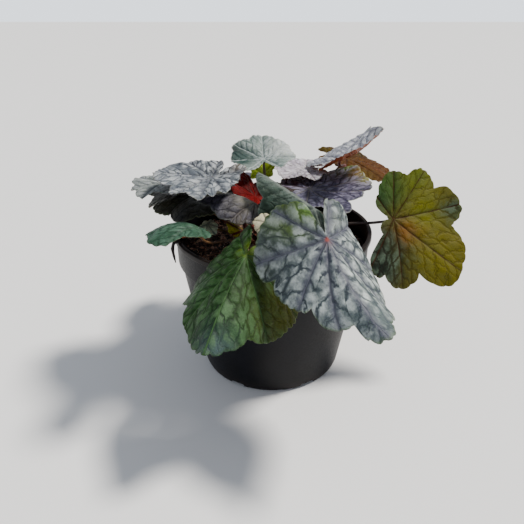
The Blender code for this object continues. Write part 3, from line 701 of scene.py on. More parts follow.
def plasticSurface():
    # near black with faint streaks, paler brown in bands at the lip and the foot
    surface, tree, shader = newSurface("potPlastic")
    place, mottle = mottledPlace(tree, 45.0, 900.0, 3.0)
    high = addNode(tree, "ShaderNodeSeparateXYZ", {"Vector": place}).outputs["Z"]
    flow = addNode(tree, "ShaderNodeVectorMath", {0: place, 1: (60.0, 60.0, 5.0)}, operation="MULTIPLY")
    streak = noiseNode(tree, flow.outputs[0], 3.0, 3.0)
    colour = blendColour(tree, mottle["Blotch"], paint(13, 13, 16), paint(20, 20, 27))
    colour = blendColour(tree, times(tree, streak, 0.3), colour, paint(31, 30, 38))
    # paler brown bands at the lip and at the foot, mixed through the grain
    for start, end, share, bandColour in ((0.093, 0.1, 0.25, (92, 80, 70)), (0.012, 0.0, 0.3, (84, 76, 68))):
        paleBand = times(tree, ramp(tree, high, start, end), mottle["Grain"])
        colour = blendColour(tree, times(tree, paleBand, share), colour, paint(*bandColour))
    fill(tree, shader, {
        "Base Color": colour, "Roughness": scaled(tree, mottle["Grain"], 0.14, 0.4),
        "Normal": bumpNormal(tree, mottle["Grain"], 0.25, 0.1), "Specular IOR Level": 0.16})
    return surface


def cutDrain(pot, angle):
    form = potForm
    bm = bmesh.new()
    radius = form["drainRadius"] * mm
    bmesh.ops.create_cone(bm, cap_ends=True, segments=form["drainSides"], radius1=radius, radius2=radius,
                          depth=form["cutterDepth"] * mm)
    away = form["drainCircle"] * mm
    bmesh.ops.translate(bm, verts=bm.verts, vec=(away * math.cos(angle), away * math.sin(angle), 0))
    mesh = bpy.data.meshes.new("drain")
    bm.to_mesh(mesh)
    bm.free()
    cutter = placeObject("drain", mesh)
    cut = pot.modifiers.new("drain", "BOOLEAN")
    cut.operation, cut.object = "DIFFERENCE", cutter
    bpy.context.view_layer.update()
    whole = bpy.data.meshes.new_from_object(pot.evaluated_get(bpy.context.evaluated_depsgraph_get()))
    pot.modifiers.clear()
    pot.data = whole
    bpy.data.objects.remove(cutter)


def makePot():
    form = potForm
    turn = evenTurns(form["sides"])
    lift = footLift(turn)
    rows = [ringPoints(radius, height + rise * lift, turn) for radius, height, rise in potProfile()]
    points, faces = turnedSkin(rows, form["sides"], (0, 0, 0), (0, 0, form["wall"]))
    pot = addPiece("pot_body", points, faces, plasticSurface(), ("pot",))
    for k in range(form["drainCount"]):
        cutDrain(pot, math.radians(360.0 * k / form["drainCount"] + form["drainTurn"]))
    pot.data.set_sharp_from_angle(angle=math.radians(form["sharpAngle"]))
    print("pot made")


makePot()


# Potting mix: a noisy top with a seat for the crown; noises are height, scale and seed in mm
soilForm = dict(
    sides=230, rings=56, level=88.0, hole=17.8, play=0.6, lumps=0.9, sag=1.5, sagRadius=65.0,
    noises=((0.9, 4.5, 2), (0.6, 2.1, 5), (0.4, 1.1, 8)), floorGap=0.3, floorInset=3.3,
    wallRows=(8.0, 30.0, 55.0), seat=((1.0, 1.8), (0.9, 7.5), (0.6, 12.0)), seatDepth=13.3, toneScale=2.6,
    toneSeed=31, dark=(32, 24, 20), light=(96, 76, 64))


def soilHeight(x, y):
    form = soilForm
    lumps = np.sin(0.31 * x + 1.0) * np.sin(0.27 * y + 0.4) + 0.5 * np.sin(0.83 * x - 0.5 * y)
    fine = sum(height * softNoise(x, y, scale, seed) for height, scale, seed in form["noises"])
    sag = form["sag"] * (np.hypot(x, y) / form["sagRadius"]) ** 4
    return form["level"] + form["lumps"] * lumps - sag + fine


def soilSurface(name, dark, light, seed, grain=1500.0):
    # a dull rough skin; the field of tones makes it darker or lighter from place to place
    surface, tree, shader = newSurface(name)
    mottle = mottledPlace(tree, 260.0, grain, seed)[1]
    colour = blendColour(tree, times(tree, mottle["Blotch"], mottle["Grain"]), paint(*dark), paint(*light))
    tone = scaled(tree, readField(tree, "tone"), 1.2, 0.35)
    fill(tree, shader, {
        "Base Color": blendColour(tree, 1.0, colour, tone, "MULTIPLY"), "Roughness": 0.85,
        "Normal": bumpNormal(tree, mottle["Grain"], 0.9, 0.4)})
    return surface


def makeSoil():
    form = soilForm
    turn = evenTurns(form["sides"])
    wall, inset = potForm["wall"], potForm["wall"] + form["play"]
    floor = wall + potForm["footRise"] + form["floorGap"]
    collarFoot = potForm["height"] - potForm["collarHeight"]
    inner = potRadius(collarFoot) + potForm["collarStep"] - wall - form["play"]
    rows = [ringPoints(potForm["baseRadius"] - form["floorInset"], floor + form["floorGap"], turn)]
    rows += [ringPoints(potRadius(z) - inset, z, turn) for z in (*form["wallRows"], collarFoot - inset)]
    rows.append(ringPoints(inner, collarFoot + inset, turn))
    for radius in np.linspace(inner, form["hole"], form["rings"]):
        rows.append(ringPoints(radius, soilHeight(radius * np.cos(turn), radius * np.sin(turn)), turn))
    rows += [ringPoints(form["hole"] * share, form["level"] - drop, turn) for share, drop in form["seat"]]
    middles = (0, 0, floor), (0, 0, form["level"] - form["seatDepth"])
    points, faces = turnedSkin(rows, form["sides"], *middles)
    tone = 0.5 + 0.5 * softNoise(points[:, 0], points[:, 1], form["toneScale"], form["toneSeed"])
    surface = soilSurface("pottingMix", form["dark"], form["light"], 1.0)
    addPiece("soil_bed", points, faces, surface, ("soil",), dict(tone=tone))
    print("soil made")


# Crumbs, bark and grit on the mix: count, shortest and longest half length in mm, how flat they are in two
# ways, the share sunk in, how uneven, how far out, and the skin's name, two colours and seed
litterForm = dict(
    inner=19.0, fewLarge=2.2, tilt=0.35, seed=11,
    # The pale colours of the crumbs and bark are partly their own colour and partly painted light, raised
    # to make up for the leaves' shade over them.
    kinds=dict(
        soil_crumbs=dict(
            count=2600, sizes=(0.35, 1.7), squash=((0.6, 1.0), (0.5, 0.9)), sunk=0.35, rough=0.25,
            outer=60.0, skin=("soilCrumb", (52, 38, 32), (196, 164, 144), 2.0)),
        bark_chips=dict(
            count=760, sizes=(0.9, 4.6), squash=((0.3, 0.7), (0.14, 0.35)), sunk=0.2, rough=0.3, outer=57.0,
            skin=("barkChip", (84, 60, 50), (244, 212, 192), 3.0, 700.0)),
        white_grit=dict(
            count=70, sizes=(0.3, 0.9), squash=((0.7, 1.0), (0.6, 0.9)), sunk=0.3, rough=0.25, outer=60.0,
            skin=("grit", (190, 184, 172), (236, 232, 224), 5.0))))


def pebbleShape():
    bm = bmesh.new()
    bmesh.ops.create_icosphere(bm, subdivisions=1, radius=1.0)
    points = np.array([vertex.co[:] for vertex in bm.verts])
    faces = [tuple(vertex.index for vertex in face.verts) for face in bm.faces]
    bm.free()
    return points, faces


def turnedPair(first, second, angle):
    # two coordinates turned about the third axis
    along, aside = math.cos(angle), math.sin(angle)
    return first * along - second * aside, first * aside + second * along


def scatterPieces(name, kind, wild):
    shape, faces = pebbleShape()
    shortest, longest = kind["sizes"]
    bits = []
    for _ in range(kind["count"]):
        radius = math.sqrt(wild.uniform(litterForm["inner"] ** 2, kind["outer"] ** 2))
        angle = wild.uniform(0, 2 * math.pi)
        size = shortest + (longest - shortest) * wild.random() ** litterForm["fewLarge"]
        stretch = size * np.array([1.0, *(wild.uniform(*span) for span in kind["squash"])])
        x, y, z = (shape * (1 + kind["rough"] * wild.uniform(-1, 1, (len(shape), 1))) * stretch).T
        spin = wild.uniform(0, 2 * math.pi)
        lean, tip = wild.normal(0, litterForm["tilt"]), wild.normal(0, litterForm["tilt"])
        y, z = turnedPair(y, z, tip)
        x, z = turnedPair(x, z, lean)
        x, y = turnedPair(x, y, spin)
        px, py = radius * math.cos(angle), radius * math.sin(angle)
        pz = float(soilHeight(np.array(px), np.array(py))) + stretch[2] * (1 - 2 * kind["sunk"])
        bits.append((np.column_stack([x + px, y + py, z + pz]), faces, wild.random()))
    joinBits(name, bits, soilSurface(*kind["skin"])).data.shade_flat()


# Thin roots and coir lying over the crumbs; spans are shortest and longest, or nearest and farthest
fibreForm = dict(
    count=210, place=(20.0, 57.0), length=(4.0, 13.0), curl=0.35, outer=59.5, rows=7, fewestRows=4,
    lift=0.5, arch=0.9, thick=(0.12, 0.28), sides=4)


def makeFibres(wild):
    form = fibreForm
    steps = form["rows"] - 1
    bits = []
    for _ in range(form["count"]):
        radius, angle = math.sqrt(wild.uniform(*np.square(form["place"]))), wild.uniform(0, 2 * math.pi)
        x, y = radius * math.cos(angle), radius * math.sin(angle)
        way, bend = wild.uniform(0, 2 * math.pi), wild.normal(0, form["curl"])
        stride = wild.uniform(*form["length"]) / steps
        path = []
        for step in range(form["rows"]):
            if math.hypot(x, y) > form["outer"]:
                break
            high = form["lift"] + form["arch"] * math.sin(step / steps * math.pi)
            path.append((x, y, float(soilHeight(np.array(x), np.array(y))) + high))
            x, y, way = x + stride * math.cos(way), y + stride * math.sin(way), way + bend
        if len(path) >= form["fewestRows"]:
            thick = wild.uniform(*form["thick"]) * np.linspace(1.0, 0.5, len(path))
            bits.append((*tubeMesh(np.array(path), thick, form["sides"]), wild.random()))
    # The pale colour of the fibres is partly their own and partly painted light, raised to make up for the
    # leaves' shade over them.
    surface = soilSurface("coirFibre", (120, 92, 74), (246, 222, 196), 4.0)
    joinBits("soil_fibres", bits, surface)


def makeLitter():
    wild = np.random.default_rng(litterForm["seed"])
    for name, kind in litterForm["kinds"].items():
        scatterPieces(name, kind, wild)
    makeFibres(wild)
    print("litter made")


# The crown: a woody knob with scales and stubs of old stalks
crownForm = dict(
    sides=150, radius=17.5, rise=9.0, depth=13.0,
    buried=((0.6, 11.7), (0.9, 7.1), (1.0, 1.5), (0.985, -0.8)), topFrom=0.965, topRows=26, knobs=0.5,
    roughs=((0.55, 5.0, 1), (0.35, 2.2, 2)), scales=46, stubs=12, place=(6.0, 16.0), lean=(35, 70),
    scaleLength=(1.8, 3.6), stubLength=(3.0, 6.5), sunk=0.8, curl=0.8, bitRows=6, bitSides=8, seed=5)


def crownSurface(radius):
    return soilForm["level"] + crownForm["rise"] * (1 - (radius / crownForm["radius"]) ** 2)


def tiledNoise(turn, along, scale, seed):
    # noise over a round body: the turn is unrolled on a circle so that it meets itself
    return softNoise(40 * np.cos(turn) + 0.3 * along, 40 * np.sin(turn) + 0.7 * along, scale, seed)


def makeCrown():
    form, level = crownForm, soilForm["level"]
    turn = evenTurns(form["sides"])
    rows = [ringPoints(form["radius"] * share, level - drop, turn) for share, drop in form["buried"]]
    for radius in np.linspace(form["radius"] * form["topFrom"], 1.0, form["topRows"]):
        knobs = 0.6 * np.sin(5 * turn + radius) + 0.4 * np.sin(9 * turn - 0.7 * radius)
        rough = sum(share * tiledNoise(turn, radius * 3, scale, seed)
                    for share, scale, seed in form["roughs"])
        fade = 1 - radius / form["radius"]
        height = crownSurface(radius) + form["knobs"] * knobs * fade + rough * smooth(0.0, 0.15, fade)
        rows.append(ringPoints(radius * (1 + 0.02 * knobs * smooth(0, 0.2, fade)), height, turn))
    middles = (0, 0, level - form["depth"]), (0, 0, crownSurface(0.0))
    points, faces = turnedSkin(rows, form["sides"], *middles)
    tone = 0.5 + 0.5 * softNoise(points[:, 0], points[:, 1], 2.0, 17)
    bark = soilSurface("crownBark", (40, 20, 16), (118, 70, 50), 6.0, 1100.0)
    addPiece("crown_body", points, faces, bark, ("crown",), dict(tone=tone))
    print("crown made")


def makeScales():
    # dry scales, then stubs of old stalks, leaning outward all over the knob
    form = crownForm
    wild = np.random.default_rng(form["seed"])
    along = np.linspace(0, 1, form["bitRows"])
    upright = np.array([0, 0, 1.0])
    scale = form["scaleLength"], 1.2 * np.sin(math.pi * (0.25 + 0.72 * along))
    stub = form["stubLength"], 1.15 * (1 - 0.25 * along)
    bits = []
    for length, thick in [scale] * form["scales"] + [stub] * form["stubs"]:
        radius, angle = wild.uniform(*form["place"]), wild.uniform(0, 2 * math.pi)
        out = np.array([math.cos(angle), math.sin(angle), 0.0])
        lean = math.radians(wild.uniform(*form["lean"]))
        way = out * math.cos(lean) + math.sin(lean) * upright
        foot = out * radius + (crownSurface(radius) - form["sunk"]) * upright
        path = foot + wild.uniform(*length) * along[:, None] * way
        path = path + form["curl"] * (along ** 2)[:, None] * upright
        bits.append((*tubeMesh(path, thick, form["bitSides"]), wild.random()))
    surface = soilSurface("crownScale", (60, 28, 20), (150, 96, 62), 7.0, 900.0)
    joinBits("crown_scales", bits, surface)
    print("scales made")


# A dried stalk over the pot's rim: places along it and its half width at each
dryStalk = dict(
    places=((-47.0, -19.0, 87.5), (-54.0, -22.5, 93.5), (-58.5, -26.5, 101.7), (-61.4, -28.6, 101.6),
            (-62.4, -29.8, 98.0), (-61.9, -30.0, 93.5), (-61.0, -29.8, 88.0)),
    halfWidths=(1.0, 1.1, 1.1, 1.1, 1.1, 0.9, 0.35), rows=28, sides=8, eased=3, ripple=0.08, tone=0.4)


def makeDryStalk():
    form = dryStalk
    given = np.array(form["places"])
    order = np.arange(len(given))
    at = np.linspace(0, len(given) - 1, form["rows"])
    path = np.column_stack([np.interp(at, order, given[:, axis]) for axis in range(3)])
    for _ in range(form["eased"]):
        path[1:-1] = 0.25 * path[:-2] + 0.5 * path[1:-1] + 0.25 * path[2:]
    radii = np.interp(at, order, form["halfWidths"]) * (1 + form["ripple"] * np.sin(5 * at))
    bit = (*tubeMesh(path, radii, form["sides"]), form["tone"])
    surface = soilSurface("dryStalk", (26, 22, 22), (62, 50, 46), 8.0, 1200.0)
    joinBits("dry_stalk", [bit], surface)
    print("dry stalk made")


makeSoil()
makeLitter()
makeCrown()
makeScales()
makeDryStalk()


# Stalks, from under each blade down into the crown
stalkForm = dict(
    socketDepth=7.0, clearAbove=4.0, middleLean=82.0, leanPerRadius=2.6, topRadius=0.85, footRadius=1.5,
    taper=0.6, thinnest=0.62, fullSize=32, ripple=0.04, rippleRate=37, sides=14, step=1.4)


def stalkPath(leaf):
    form = stalkForm
    midrib, _, normal = leafAxes(leaf)
    degrees, radius = leaf["root"]
    turn, tilt = math.radians(degrees), math.radians(form["middleLean"] - form["leanPerRadius"] * radius)
    out = np.array([math.cos(turn), math.sin(turn), 0.0])
    direction = out * math.cos(tilt) + np.array([0, 0, math.sin(tilt)])
    foot = out * radius + np.array([0, 0, crownSurface(radius)]) - direction * form["socketDepth"]
    folded = math.tan(math.radians(max(0, *leaf["creases"])))
    under = bladeForm["thickness"] * 0.5 + form["topRadius"] * folded
    joint = np.array(leaf["joint"], float) - normal * under
    points = [foot, foot + direction * (form["socketDepth"] + form["clearAbove"])]
    points += [np.array(place, float) for place in leaf["via"]] + [joint]
    slope = math.radians(leaf["arrive"])
    ways = [direction, direction]
    for before, after in zip(points[1:], points[3:]):
        ways.append((after - before) / np.linalg.norm(after - before))
    ways.append(math.sin(slope) * normal + math.cos(slope) * midrib)
    # a smooth curve through the points, leaving and coming along the ways
    path = []
    for here, after, leaving, coming in zip(points, points[1:], ways, ways[1:]):
        span = np.linalg.norm(after - here)
        for s in np.linspace(0, 1, max(3, round(span / form["step"])), endpoint=False):
            path.append(here * (2 * s**3 - 3 * s**2 + 1) + span * leaving * (s**3 - 2 * s**2 + s)
                        + after * (3 * s**2 - 2 * s**3) + span * coming * (s**3 - s**2))
    path.append(points[-1])
    return np.array(path)


def stalkSurface(leaf):
    surface, tree, shader = newSurface(leaf["name"] + "_stalk_skin")
    mottle = mottledPlace(tree, 180.0, 1800.0, float(leaf["size"]))[1]
    foot, top = leaf["stalk"]
    colour = blendColour(tree, ramp(tree, readField(tree, "along"), 0.1, 0.95), paint(*foot), paint(*top))
    dark = scaled(tree, mottle["Blotch"], 0.35, 0.45)
    fill(tree, shader, {
        "Base Color": blendColour(tree, dark, colour, paint(50, 30, 24)),
        "Roughness": scaled(tree, mottle["Grain"], 0.2, 0.4),
        "Normal": bumpNormal(tree, mottle["Grain"], 0.5, 0.2),
        "Subsurface Weight": 0.1, "Subsurface Radius": (0.001, 0.0008, 0.0004)})
    return surface


def makeStalk(leaf):
    form = stalkForm
    path = stalkPath(leaf)
    along = np.linspace(0, 1, len(path))
    grown = form["thinnest"] + (1 - form["thinnest"]) * min(1.0, leaf["size"] / form["fullSize"])
    radii = form["footRadius"] + (form["topRadius"] - form["footRadius"]) * along ** form["taper"]
    radii = radii * leaf["stalkScale"] * grown
    radii = radii * (1 + form["ripple"] * np.sin(along * form["rippleRate"] + leaf["size"]))
    points, faces = tubeMesh(path, radii, form["sides"])
    share = np.append(np.repeat(along, form["sides"]), [0.0, 1.0])
    fields = dict(along=share)
    addPiece(leaf["name"] + "_stalk", points, faces, stalkSurface(leaf), (), fields)


def makeLeaf(leaf):
    leaf = {**plainLeaf, **leaf}
    makeBlade(leaf, leafSurface(leaf))
    makeStalk(leaf)
    print(leaf["name"], "made")


makeLeaf(dict(
    name="leaf_front", slot="leaf_silver", joint=(26, -85, 130), heading=-67, pitch=-38, roll=-23,
    size=51, cell=0.85, across=(26, 14), creases=(6, 60), droop=-18, back=-11, root=(-60, 14.5),
    via=((23, -52, 98),),
    edge=[(-172, 0.15), (-168, 0.45), (-152, 0.57), (-138, 0.7), (-109, 0.77), (-97, 0.83), (-86, 0.81),
          (-79, 0.68), (-70, 0.76), (-45, 0.74), (-39, 0.68), (-24, 0.88), (-16, 0.9), (-11, 0.89),
          (-7, 1.1), (-3, 1.17), (2, 1.19), (6, 1.15), (12, 1.03), (31, 0.94), (73, 0.86), (112, 0.8),
          (148, 0.61), (168, 0.2)], veins=(-140, -97, -50, -21, 0, 35, 73, 112, 148),
    depth=0.84, base=(84, 94, 98), silver=(214, 221, 220), vein=(52, 56, 68), mainVein=(150, 152, 164),
    mottled=0.9, halo=(98, 101, 114), haloStrength=0.8, haloWidth=4.4, spacing=0.2, netCell=10.5,
    sideWidth=0.05, mainWidth=0.8, mainStrength=0.4, netStrength=0.65,
    silverSpots=((-115, 0.78, 17, -0.65), (-145, 0.45, 12, -0.35), (-80, 0.6, 14, -0.2),
                 (8, 1.1, 13, -0.7), (-25, 0.85, 10, -0.4), (150, 0.4, 12, -0.6), (32, 0.85, 11, -0.35),
                 (15, 0.5, 10, 0.3)), dot=(150, 60, 10), dotStrength=0.9,
    # The yellow-green spots by the sinus, at -168 to -140 degrees, are partly the lobe's green and partly
    # painted glow of sun shining through it.
    spots=((-140, 0.6, 13, (78, 96, 38)), (-150, 0.35, 9, (104, 124, 34)), (-168, 0.4, 5, (124, 164, 14)),
           (150, 0.4, 12, (112, 118, 116)), (0, 0.04, 2.4, (200, 84, 30)), (-97, 0.75, 10, (60, 72, 60)),
           (10, 0.85, 20, (106, 118, 120))), rim=(120, 140, 70), under=(120, 96, 100),
    underVein=(150, 140, 120), stalk=((150, 60, 50), (120, 120, 60))))
makeLeaf(dict(
    name="leaf_green", slot="leaf_green", joint=(-16, -72, 114), heading=-111, pitch=-17, roll=0, size=52,
    cell=0.85, across=(24, 33), creases=(40, 24), droop=17, back=0, root=(-104, 14.5),
    via=((-11, -48, 97),),
    edge=[(-172, 0.3), (-160, 0.58), (-131, 0.5), (-111, 0.46), (-88, 0.6), (-80, 0.87), (-68, 0.92),
          (-44, 0.81), (-25, 1.0), (0, 1.18), (12, 1.07), (23, 0.92), (42, 0.97), (62, 0.9), (82, 0.87),
          (92, 0.62), (118, 0.34), (166, 0.2)], veins=(-145, -72, -30, 0, 42, 80, 130), gloss=0.2,
    depth=0.44, base=(40, 86, 18), silver=(126, 162, 120), vein=(20, 54, 16), mainVein=(112, 152, 100),
    mottled=0.55, haloStrength=0.25, netStrength=0.6, spacing=0.18, netCell=7.5, mainStrength=0.75,
    shine=0.54,
    silverSpots=((62, 0.75, 19, -0.35), (-75, 0.85, 12, -0.3), (0, 0.2, 9, -0.3), (0, 0.75, 13, 0.35)),
    dot=(140, 160, 30), dotStrength=0.5, veinLocal=0.3,
    spots=((62, 0.75, 20, (106, 112, 6)), (80, 0.75, 12, (134, 138, 6)), (2, 1.12, 13, (98, 120, 122)),
           (-60, 0.7, 14, (62, 112, 64)), (180, 0.1, 6, (134, 160, 24)), (-78, 0.85, 9, (44, 96, 12))),
    rim=(110, 134, 80), under=(110, 92, 80), underVein=(150, 140, 110),
    stalk=((150, 62, 50), (130, 140, 60))))
makeLeaf(dict(
    name="leaf_right", slot="leaf_olive", joint=(77, -10, 109), heading=12, pitch=-7, roll=49, size=46,
    cell=0.85, across=(2, 24), creases=(-15, 0), droop=-12, back=2, root=(-8, 14.5),
    edge=[(-129, 0.28), (-122, 0.7), (-108, 0.86), (-102, 0.8), (-81, 1.0), (-65, 0.85), (-47, 1.24),
          (-33, 1.17), (-6, 0.86), (9, 1.02), (28, 0.94), (36, 0.76), (55, 0.86), (73, 0.65), (90, 0.68),
          (111, 0.54), (124, 0.41), (137, 0.37), (159, 0.1)], veins=(-118, -82, -38, 12, 55, 90, 130),
    gloss=0.12,
    # The yellow base is partly the blade's own colour and partly painted glow of sun shining through it.
    depth=0.62, base=(124, 116, 2), silver=(126, 142, 126), halo=(64, 60, 16), vein=(70, 44, 12),
    mainVein=(84, 46, 16), mottled=0.1, quilt=0.3, haloStrength=0.2, haloWidth=3.5, mainWidth=0.7,
    shine=0.56, veinLocal=0.7, spacing=0.2, netCell=8.0,
    silverSpots=((-104, 0.62, 15, 0.75), (10, 0.9, 10, 0.5)),
    # The dark and grey-green spots at -128 to -88 and at 96 to 118 degrees are painted shadow over the
    # lobes beside the sinus; the yellow spots at -42 to 15 degrees are partly the blade's colour and partly
    # painted glow of sun shining through it.
    spots=((-104, 0.66, 25, (30, 46, 40)), (-128, 0.6, 20, (30, 44, 42)), (-88, 0.4, 11, (36, 48, 26)),
           (118, 0.45, 16, (58, 92, 68)), (96, 0.5, 13, (76, 104, 48)), (62, 0.75, 14, (122, 130, 56)),
           (8, 0.92, 11, (88, 98, 72)), (-34, 0.3, 9, (140, 88, 6)), (-42, 0.85, 20, (128, 122, 4)),
           (15, 0.45, 12, (132, 132, 14))), rim=(120, 116, 40), under=(120, 80, 70),
    underVein=(150, 120, 90), stalk=((60, 36, 34), (58, 44, 40))))
makeLeaf(dict(
    name="leaf_top_left", slot="leaf_pale", joint=(-37, -21, 141), heading=230, pitch=-4, roll=3, size=29,
    cell=0.8, across=(10, 2), creases=(4, -10), droop=0, back=-18, root=(210, 9.5), via=((-20, -5, 112),),
    edge=[(-172, 0.42), (-150, 0.7), (-124, 0.68), (-95, 0.85), (-66, 1.18), (-43, 1.2), (-26, 1.05),
          (-20, 0.86), (-12, 1.0), (0, 1.12), (14, 1.0), (30, 1.1), (38, 0.82), (44, 0.92), (53, 0.68),
          (64, 0.8), (80, 0.64), (108, 0.6), (130, 0.58), (152, 0.78), (168, 0.7)],
    veins=(-150, -100, -55, 0, 30, 64, 110, 152),
    depth=0.58, base=(140, 147, 156), silver=(228, 232, 236), vein=(60, 64, 76), mainVein=(150, 154, 162),
    mottled=0.95, haloStrength=0.25, quilt=1.0,
    # The near-black spot at 172 degrees is painted shadow in the sinus.
    spots=((172, 0.36, 9, (26, 28, 32)), (158, 0.8, 7, (140, 122, 94)), (-150, 0.5, 9, (104, 108, 114)),
           (-100, 0.85, 8, (116, 120, 128))), rim=(210, 204, 186), under=(120, 100, 110),
    underVein=(160, 150, 150), stalk=((150, 70, 60), (140, 110, 90)), shine=0.36))
makeLeaf(dict(
    name="leaf_low_left", slot="leaf_dark", joint=(-45, -11, 127), heading=174, pitch=5, roll=27, size=43,
    across=(24, 0), creases=(25, -24), droop=56, back=14, root=(188, 14.5),
    edge=lobedEdge([(-145, 0.7), (-99, 0.86), (-46, 1.04), (-10, 0.84), (32, 0.82), (74, 0.92),
                    (120, 0.68)]),
    # The near-black olive colours are partly the leaf's own dark colour and partly painted shade from the
    # leaves above it.
    depth=1.05, base=(46, 44, 28), silver=(78, 80, 70), vein=(20, 22, 18), mainVein=(60, 64, 50),
    mottled=0.4,
    spots=((74, 0.8, 10, (56, 56, 58)), (0, 0.8, 12, (44, 50, 26))), under=(110, 70, 60),
    underVein=(130, 110, 90), stalk=((140, 60, 50), (110, 90, 60))))
makeLeaf(dict(
    name="leaf_far_left", slot="leaf_pale", joint=(-68, -3, 131), heading=192, pitch=-2, roll=1, size=27,
    cell=0.8, across=(11, 5), creases=(-4, 0), droop=16, back=-4, root=(162, 14.5), arrive=30,
    via=((-19, 11, 125), (-46, 7, 129)),
    edge=lobedEdge([(-145, 0.7), (-99, 0.86), (-42, 0.98), (0, 0.82), (46, 0.9), (99, 0.86), (145, 0.7)]),
    depth=0.56, base=(164, 170, 170), silver=(224, 228, 228), vein=(96, 100, 108),
    mainVein=(190, 192, 196), haloStrength=0.2, quilt=0.8, under=(120, 100, 100),
    underVein=(150, 140, 140), stalk=((150, 70, 60), (130, 100, 80))))
makeLeaf(dict(
    name="leaf_mid_left", slot="leaf_slate", joint=(-11, -29, 127.5), heading=188, pitch=36, roll=0,
    size=38, across=(30, 30), creases=(32, 24), droop=62, back=20, root=(250, 9.5),
    edge=spindleLobes,
    # depth is lowered to darken where sun falls on this blade: painted shade.
    depth=0.56, base=(70, 68, 78), silver=(124, 122, 134), vein=(54, 52, 62), mainVein=(150, 144, 140),
    mottled=0.6, haloStrength=0.2, veinStrength=0.6,
    spots=((0, 0.12, 7, (222, 216, 198)), (180, 0.3, 8, (232, 226, 206)), (60, 0.5, 8, (96, 88, 78))),
    under=(120, 90, 90), underVein=(150, 140, 130), stalk=((150, 60, 50), (150, 110, 80))))
makeLeaf(dict(
    name="leaf_small_left", slot="leaf_sea_green", joint=(-42, -54, 123), heading=189, pitch=29, roll=2,
    size=31, across=(15, 66), creases=(-3, 20), droop=68, root=(222, 14.5), veins=fiveVeins, cell=0.9,
    edge=[(-134, 0.26), (-96, 0.6), (-75, 0.76), (-39, 0.77), (-11, 0.9), (5, 1.0), (16, 0.98),
          (32, 1.08), (46, 1.03), (62, 0.72), (90, 0.45), (150, 0.15)],
    depth=0.6, base=(66, 104, 82), silver=(130, 164, 146), vein=(30, 62, 50), mainVein=(100, 136, 110),
    mottled=0.6,
    spots=((0, 0.75, 8, (34, 70, 58)),), rim=(150, 176, 150), under=(140, 84, 40),
    underVein=(170, 120, 60), stalk=((104, 66, 44), (176, 140, 104)), stalkScale=0.68))
makeLeaf(dict(
    name="leaf_red", slot="leaf_red", joint=(-11, -5, 122), heading=167, pitch=38, roll=-2, size=23,
    cell=0.8, across=(5, 4), creases=(-8, -7), droop=19, root=(200, 4.0), veins=fiveVeins,
    edge=[(-120, 0.3), (-72, 0.66), (-60, 0.55), (-48, 0.97), (-22, 0.62), (0, 0.8), (22, 0.62),
          (42, 0.88), (67, 0.68), (120, 0.3)], gloss=0.08,
    depth=0.34, base=(190, 12, 4), silver=(196, 30, 8), vein=(84, 6, 10), mainVein=(190, 60, 40),
    mottled=0.3, haloStrength=0.25, netStrength=0.3,
    spots=((-60, 0.5, 7, (110, 10, 20)), (-30, 0.3, 6, (84, 10, 20)), (60, 0.5, 8, (150, 34, 10)),
           (20, 0.55, 7, (140, 16, 14))), rim=(190, 70, 30), under=(176, 30, 18), underVein=(190, 60, 40),
    stalk=((150, 60, 40), (120, 110, 50))))
makeLeaf(dict(
    name="leaf_top", slot="leaf_silver", joint=(-6, 15, 141), heading=93, pitch=13, roll=-1, size=26,
    cell=0.8, across=(-4, 25), creases=(-3, -15), droop=-18, back=-9, root=(100, 4.0),
    edge=lobedEdge([(-140, 0.72), (-99, 0.82), (-50, 0.83), (0, 0.98), (47, 0.96), (101, 0.83),
                    (145, 0.77)], 0.1), gloss=0.2,
    depth=0.76, base=(132, 148, 144), silver=(216, 222, 222), vein=(100, 118, 118),
    mainVein=(216, 222, 222), haloStrength=0.1, netStrength=0.3, veinStrength=0.6, quilt=0.8,
    # The dark teal spots at 74 and 112 degrees, with the silver taken away there, are painted shade on the
    # dome's left side; the near-white spots at -60 and 175 degrees are painted highlights.
    silverSpots=((72, 0.9, 16, -0.8), (112, 0.5, 11, -0.6)),
    spots=((74, 0.9, 17, (22, 44, 44)), (112, 0.5, 11, (64, 88, 84)), (-60, 0.8, 13, (226, 228, 226)),
           (175, 0.6, 8, (190, 200, 194))), rim=(226, 228, 222), rimStrength=0.4, under=(140, 110, 110),
    underVein=(170, 160, 150), stalk=((140, 60, 50), (120, 110, 60))))
makeLeaf(dict(
    name="leaf_lime", slot="leaf_lime", joint=(-7, 25, 127), heading=77, pitch=44, roll=-16, size=12,
    cell=0.6, across=(10, 4), creases=(0, -8), droop=14, root=(122, 9.5),
    edge=fiveLobes, veins=fiveVeins,
    # depth is raised past the blade's colour to lighten it where it lies in shade: painted light.
    depth=1.4, base=(132, 152, 22), silver=(176, 184, 70), vein=(86, 104, 20), mainVein=(150, 160, 50),
    mottled=0.3, haloStrength=0.2, under=(150, 156, 50), underVein=(170, 170, 80),
    stalk=((110, 60, 40), (120, 120, 50))))
makeLeaf(dict(
    name="leaf_folded", slot="leaf_sea_green", joint=(24, -36, 127), heading=168, pitch=33, roll=-8,
    size=41, across=(20, 30), creases=(50, 42), droop=4, root=(-38, 14.5),
    edge=lopsidedLobes, cell=0.9, gloss=0.2,
    # The wide pale midrib and the pale spots along it at 0 degrees are partly the vein and partly painted
    # highlight along the fold's ridge.
    depth=0.46, base=(60, 84, 68), silver=(130, 150, 140), vein=(38, 58, 52), mainVein=(176, 186, 180),
    mottled=0.5, haloStrength=0.0, mainWidth=2.6, netStrength=0.45,
    spots=((0, 0.4, 7, (150, 166, 158)), (0, 0.8, 7, (160, 174, 166)), (0, 0.1, 6, (130, 150, 142))),
    rim=(200, 204, 200), rimStrength=0.3, under=(130, 100, 90), underVein=(160, 150, 130),
    stalk=((150, 60, 50), (120, 110, 60))))
